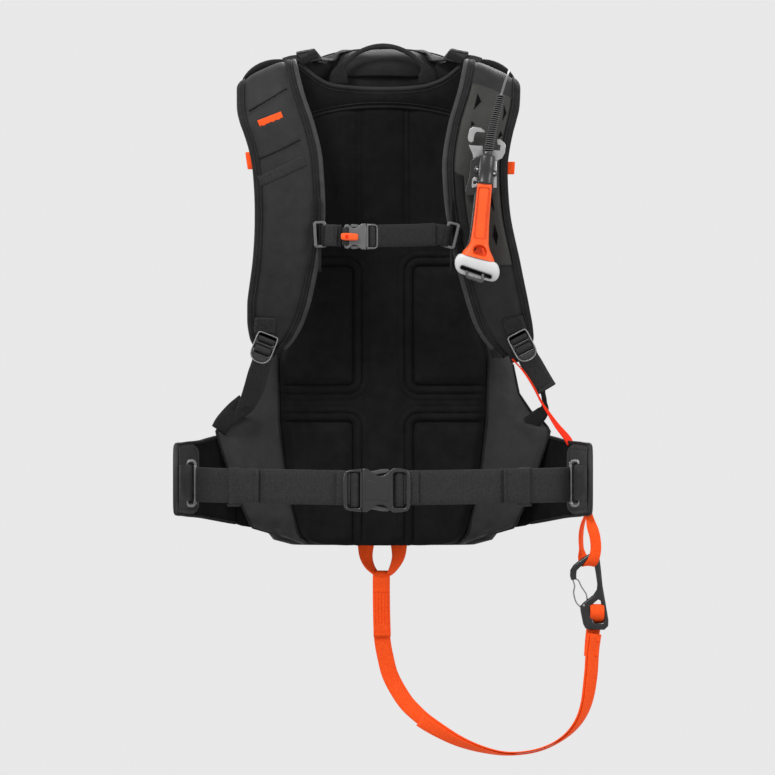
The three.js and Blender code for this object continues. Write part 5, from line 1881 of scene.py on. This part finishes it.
def make_trigger_knob():
    stations = [(81, 19, 8.8, 8), (83, 22, 10.2, 9), (86, 24, 11, 9.6), (90.5, 25.4, 10.8, 9.8),
                (95, 25.2, 9.6, 9.6),
                (99.5, 23.6, 7.6, 9.2), (102.6, 20.6, 4.6, 8.6), (104.2, 17, 1.6, 7.6)]
    rings = []
    for distance, half, front, back in stations:
        ring = []
        for c in range(64):
            angle = 2 * math.pi * c / 64
            across = signed_power(math.cos(angle), KNOB_POWER) * half
            forward = signed_power(math.sin(angle), KNOB_POWER)
            forward *= front if forward > 0 else back
            ring.append(on_trigger(distance + across * TRIGGER_SKEW, across, forward))
        rings.append(ring)
    knob = loft("trigger_knob_shell", rings, "white_plastic", subdivide=1)
    wear(knob, "trigger_handle", "white_plastic", "trigger_knob")

    tilt = Matrix.Rotation(math.radians(5.25 + 13.5), 4, "Y") @ Matrix.Rotation(math.radians(26), 4, "X")
    centre = on_trigger(97.6, -0.8, 8.9)
    # A near-black plate in the knob's slot: painted shade inside the slot.
    slot = plate("knob_slot", rounded_rectangle(0, 0, 36, 4.6, 2.2), -0.6, 1.2, "hollow_shade_black", bevel=0.4,
                 turn=tilt, move=centre)
    wear(slot, "trigger_handle", "white_plastic")
    ring = [Vector((x * MM, -0.5 * MM, z * MM)) for x, z in rounded_rectangle(0, 0, 36.6, 5.2, 2.4, 6)]
    line = [centre + (tilt.to_3x3() @ p) for p in [*ring, ring[0], ring[1]]]
    wear(tube("knob_slot_rim", line, 0.5 * MM, "grey_plastic", 8), "trigger_handle", "white_plastic")
    spots = [(97.6, -11.4, 8.6), (100.6, -10.8, 10.2), (103.8, -9.4, 10.4), (105.8, -1.6, 10.4),
             (107.6, 5.8, 10.4), (104.6, 6.8, 10.4),
             (99.4, 6.9, 8.8)]
    loop = spline([on_trigger(*spot) for spot in spots], 40)
    wear(tube("knob_strap", loop, 1.8 * MM, "mid_plastic", 12), "trigger_handle", "white_plastic")


# ---- Ladder locks, adjusting webbing, load lifters, haul loop and small tabs ----
LOCK_PLACES = {"left": (-133, -26, 0.38), "right": (155.5, -24, -0.48)}
LOCK_Y = -72
ADJUST = {
    "left": [(-131, -67.5, -10, 21), (-134, -67.5, -38, 22), (-139, -58, -54, 24), (-146, -38, -76, 25),
             (-156, -24, -96, 24), (-166, -16, -108, 22)],
    "right": [(153, -67.5, -10, 20), (161, -67, -35, 22), (168, -63, -48, 24), (175, -58, -60, 24),
              (182, -53, -71.5, 24)],
}
ADJUST_SIDES = {
    "left": [(1, 0, -0.2), (1, 0, -0.2), (1, 0.15, 0), (1, 0.3, 0), (0.9, 0.3, 0.2), (0.7, 0, 0.7)],
    "right": [(1, 0, 0.4), (1, 0, 0.45), (1, 0, 0.5), (1, 0, 0.5), (1, 0, 0.45)],
}
RETURN_SPOTS = [(176, -52, -66, 8), (178.6, -47, -76, 5.5), (180.4, -40, -85, 6), (180.4, -34, -95, 15),
                (171.6, -24, -105, 18.4), (163, -14, -112, 18.4)]
RETURN_SIDES = [(1, 0, -0.1), (1, 0, -0.2), (0.85, 0, -0.5), (0.5, 0, -0.86), (0.61, 0, -0.79),
                (0.61, 0, -0.79)]


def make_ladder_lock(name):
    x0, z0, lean = LOCK_PLACES[name]
    turn = Matrix.Rotation(lean, 4, "Y")
    body = f"lock_{name}"
    outline = [(-9.2, 16.5), (-11.2, 15), (-11.9, 12), (-11.9, -6), (-10.8, -11.5), (-7.6, -15.4),
               (-2.8, -17.2), (2.8, -17.2),
               (7.6, -15.4), (10.8, -11.5), (11.9, -6), (11.9, 12), (11.2, 15), (9.2, 16.5)]
    holes = [rounded_rectangle(0, 9.6, 19.4, 8.6, 2.4), rounded_rectangle(0, -2.6, 19.4, 9.4, 2.4)]
    move = at(x0, LOCK_Y, z0)
    frame_piece = plate(f"lock_frame_{name}", outline, -2.6, 2.4, "moulded_plastic", holes, 1.4, turn, move)
    wear(frame_piece, body, "moulded_plastic", f"ladder_lock_{name}")
    small = [Vector((x * 0.97 * MM, -2.4 * MM, z * 0.97 * MM)) for x, z in outline]
    rim = [move + turn.to_3x3() @ p for p in [*small, small[0]]]
    wear(tube(f"lock_rim_{name}", spline(rim, 90), 0.75 * MM, "bar_metal", 8), body, "moulded_plastic")
    lip = [(-8.4, -9.6), (8.4, -9.6), (6.4, -14), (2.4, -15.4), (-2.4, -15.4), (-6.4, -14)]
    wear(plate(f"lock_lip_{name}", lip, -3.6, -0.5, "moulded_plastic", bevel=1.0, turn=turn, move=move), body,
         "moulded_plastic")

    for tag, height, reach in (("upper", 9.4, 2.6), ("lower", -2.4, 3.4)):
        loop = oval(at(0, -0.6, height), at(0, 0, reach), at(0, 2.9, 0), 16)
        ring = [move + turn.to_3x3() @ p for p in loop]
        wrap = ribbon(f"lock_wrap_{name}_{tag}", ring, 18.8 * MM, 1.2 * MM, turn.to_3x3() @ X, "webbing")
        wear(wrap, body, "webbing")


def make_adjust_webbing(name):
    spots = ADJUST[name]
    path = spline([at(x, y, z) for x, y, z, _ in spots], 50)
    widths = [(w,) for *_, w in spots]
    sides = ADJUST_SIDES[name]
    band = ribbon(f"adjust_band_{name}", path, lambda share: lerp_list(widths, share)[0] * MM, 1.8 * MM,
                  lambda share: Vector(lerp_list(sides, share)), "webbing")
    wear(band, "bag", "webbing", f"adjust_webbing_{name}")
    if name == "left":
        corner = curve([(-154, -27, -88), (-166, -29, -97), (-178, -28, -109), (-184, -25, -118)], 20)
        flap = ribbon("wing_flap_left", corner, lambda share: (24 - 5 * share) * MM, 2 * MM,
                      Vector((-0.66, 0, 0.72)), "dark_webbing")
        wear(flap, "bag", "webbing")
        return
    strip = curve([(145, -55, -20), (146.5, -55, -32), (148, -55, -42)], 16)
    wear(ribbon("lock_backing_right", strip, lambda share: (20 - 9 * share) * MM, 2 * MM, X, "dark_webbing"),
         "bag", "webbing")
    widths_back = [(w,) for *_, w in RETURN_SPOTS]
    path = spline([at(x, y, z) for x, y, z, _ in RETURN_SPOTS], 40)
    back = ribbon("adjust_return_right", path, lambda share: lerp_list(widths_back, share)[0] * MM, 1.8 * MM,
                  lambda share: Vector(lerp_list(RETURN_SIDES, share)), "dark_webbing")
    wear(back, "bag", "webbing")
    hem = [at(180.2, -54.4, -69), at(181.2, -54.8, -70.4), at(182.2, -54, -72)]
    hem_band = ribbon("adjust_hem_right", hem, 24.4 * MM, 3 * MM, Vector((1, 0, 0.45)), "webbing")
    wear(hem_band, "bag", "webbing")


def make_lifter(side, name):
    reach = side if side < 0 else 0.985
    body = f"lifter_{name}"
    outline = [(98, 306.6), (77, 311), (69.4, 301.8), (68.8, 298.4), (74, 297.4), (87.4, 294), (91, 297),
               (97, 302.6)]
    mirrored = [(reach * x, z) for x, z in (outline if side < 0 else outline[::-1])]
    buckle = plate(f"lifter_frame_{name}", mirrored, -9, -3, "moulded_plastic", bevel=1.2)
    wear(buckle, body, "moulded_plastic", f"lifter_buckle_{name}")
    bar = tube(f"lifter_bar_{name}", [at(reach * 97, -9.4, 305.9), at(reach * 78, -9.4, 309.8)], 1.5 * MM,
               "mid_plastic", 16)
    wear(bar, body, "moulded_plastic")
    spots = [(93, -9.5, 295.4), (88, -11, 297.6), (80, -10.8, 302), (73.4, -9.4, 304.4)]
    wrap = ribbon(f"lifter_wrap_{name}", curve(spots, 24, reach), 8 * MM, 1.4 * MM,
                  Vector((0.4 * side, 0, 1)), "dark_webbing")
    wear(wrap, body, "webbing")

    # The arm reaches back to the pivot, and the stay holds the pivot to the bag.
    spots = [(81, -5, 303.5), (81, 5, 306.5), (81, 14.6, 309.4)]
    arm = ribbon(f"lifter_arm_{name}", [at(reach * x, y, z) for x, y, z in spots], 9 * MM, 2.6 * MM, X,
                 "moulded_plastic")
    wear(arm, body, "moulded_plastic")
    spots = [(81, 15.2, 308.4), (79, 19, 302), (76, 25, 293)]
    stay = ribbon(f"lifter_stay_{name}", [at(reach * x, y, z) for x, y, z in spots], 11 * MM, 2 * MM, X,
                  "dark_webbing")
    wear(stay, "bag", "webbing")

    spots = [(78, -5.5, 300.5), (92, -6.5, 300.4), (103, -7.5, 299.2), (112, -8, 296.6)]
    strap = ribbon(f"lifter_band_{name}", curve(spots, 40, reach), 9 * MM, 1.8 * MM,
                   Vector((0, 0.5, 1)), "webbing")
    wear(strap, "bag", "webbing", f"lifter_webbing_{name}")
    shoulder = side if side < 0 else 0.94
    spots = [(159, 273, 1.6), (154, 279.6, 3.2), (147, 285.5, 4.6), (136, 291, 5.8), (124, 294.8, 5.4),
             (115, 296.6, 3.6), (107, 297.4, 2)]
    rings = [superellipse(at(shoulder * x, 2, z), Vector((0.45 * side, 0, 0.9)), Y, tall * MM, 11 * MM, 3,
                          24) for x, z, tall in spots]
    wear(loft(f"shoulder_band_{name}", rings, "dark_webbing", subdivide=1), "bag", "webbing")
    spots = [(76, -2, 300.4), (67, 12, 300.5), (58, 28, 301.8), (52, 40, 307.6), (46, 48, 310.8),
             (40, 56, 313)]
    inner = ribbon(f"lifter_anchor_{name}", curve(spots, 24, reach), 15 * MM, 1.6 * MM,
                   Vector((0, 1, 0.2)), "dark_webbing")
    wear(inner, "bag", "webbing")
    spots = [(96, 8, 294), (86, 9, 292), (74, 12, 289), (62, 16, 285)]
    back = ribbon(f"lifter_backing_{name}", curve(spots, 24, reach), 17 * MM, 2 * MM, Z, "dark_webbing")
    wear(back, "bag", "webbing")


def make_haul_loop():
    half = [(-49, 273, 6.4, 1.5), (-48.6, 281, 5.2, 1.7), (-47, 288, 3.8, 2.0), (-43.4, 294.5, 3.2, 2.4),
            (-38, 300, 2.8, 2.7),
            (-28, 307.5, 2.7, 2.7), (-14, 313.2, 2.8, 2.8), (0, 315, 3.0, 2.9)]
    stations = half + [(-x, z, wide, thick) for x, z, wide, thick in reversed(half[:-1])]
    keys = [at(x, 9, z) for x, z, _, _ in stations]
    path = spline(keys, 97)
    runs = runs_along(path)
    places = station_runs(path, keys)
    wides = [(place, station[2]) for place, station in zip(places, stations)]
    thicks = [(place, station[3]) for place, station in zip(places, stations)]
    rings = []
    for i, point in enumerate(path):
        across = tangent_at(path, i).cross(Y).normalized()
        wide = interpolate(wides, runs[i])
        thick = interpolate(thicks, runs[i])
        rings.append(superellipse(point, across, Y, wide * MM, thick * MM, 2.6, 28))
    loop = loft("haul_loop_webbing", rings, "webbing")
    wear(loop, "haul_handle", "webbing", "haul_loop")
    line = [p - Y * 2.9 * MM for p in path[24:73]]
    wear(stitches("haul_loop_stitching", [line]), "haul_handle", "webbing")
    for side, name in SIDES:
        sewn = ribbon(f"haul_base_{name}",
                      [at(side * 50, 8, 258), at(side * 50, 6, 264), at(side * 50, 5.6, 270.2)],
                      20 * MM, 2 * MM, X, "dark_webbing")
        wear(sewn, "bag", "webbing")
        spots = [(50, 5.2, 272.6), (50, 4.8, 279), (49, 4.6, 285), (47, 5, 291), (45, 5.6, 295)]
        foot = ribbon(f"haul_foot_{name}", curve(spots, 24, side),
                      lambda share: (20 - 12.5 * smoothstep(0.3, 1, share)) * MM, 2 * MM, X, "dark_webbing")
        wear(foot, "haul_handle", "webbing")


def make_small_tabs():
    for name, way, x, z, tall, slant in (("left", -1, 143, 182, 19, -0.25),
                                         ("right", 1, 137.6, 174, 14, 0.1)):
        base = strap_front(name, way * x, z, -STRAP_DEPTH / 2)
        spots = [(-6, 1.2), (4, 1.2), (7.6, 0.6), (8.2, -0.4), (4, -1), (-6, -1)]
        fold = spline([base + at(way * step, depth, 0) for step, depth in spots], 30)
        tab = ribbon(f"side_tab_{name}", fold, tall * MM, 1.1 * MM, Vector((slant, 0, 1)), "orange_webbing")
        wear(tab, "bag", "orange_fabric")


def make_zip_slider():
    x = 60
    y = 211
    body = rounded_bar("zip_slider_body", (x - 5, y - 3.4, 98), (x + 5, y + 0.6, 112), "dark_metal", 1.0)
    bridge = rounded_bar("zip_slider_bridge", (x - 1.5, y - 0.6, 96), (x + 1.5, y + 2.4, 110), "dark_metal",
                         0.6)
    tab = plate("zip_slider_tab", rounded_rectangle(x, 81.5, 8, 31, 2.2), y - 0.6, y + 1.2, "dark_metal",
                [rounded_rectangle(x, 73, 4, 8, 1.6)], 0.5)
    wear(merge("zip_slider_pull", [body, bridge, tab]), "zip", "dark_metal", "zip_slider")


KEPT_LOOKS = {
    "bag_fabric": "bag_fabric", "panel_fabric": "panel_fabric", "back_foam": "back_foam",
    "stretch_fabric": "stretch_fabric",
    "webbing": "webbing", "moulded_plastic": "moulded_plastic", "grey_plastic": "grey_plastic",
    "orange_fabric": "orange_webbing",
    "orange_plastic": "orange_plastic", "white_plastic": "white_plastic", "bright_metal": "bright_metal",
    "dark_metal": "dark_metal",
}


def paint_kept_nodes():
    """The CAD parts that stay in view, or lie inside, take the looks of their own finishes."""
    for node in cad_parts.values():
        for holder in node.material_slots:
            finish = holder.material.name.split(".")[0]
            holder.material = LOOKS[KEPT_LOOKS[finish]]


make_camera()
make_stage()
make_leg_strap()
make_carabiner()
make_hip_loops()
build_soft()
for side, name in SIDES:
    make_hip_webbing(side, name)
    make_bar_loop(side, name)
make_hip_buckle()
for side, name in SIDES:
    make_chest_slider(side, name)
make_chest_webbing()
make_chest_buckle()
make_trigger_panel()
make_trigger_bracket()
make_trigger_cable()
make_trigger_grip()
make_trigger_knob()
for side, name in SIDES:
    make_ladder_lock(name)
    make_adjust_webbing(name)
    make_lifter(side, name)
make_haul_loop()
make_small_tabs()
make_zip_slider()
paint_kept_nodes()
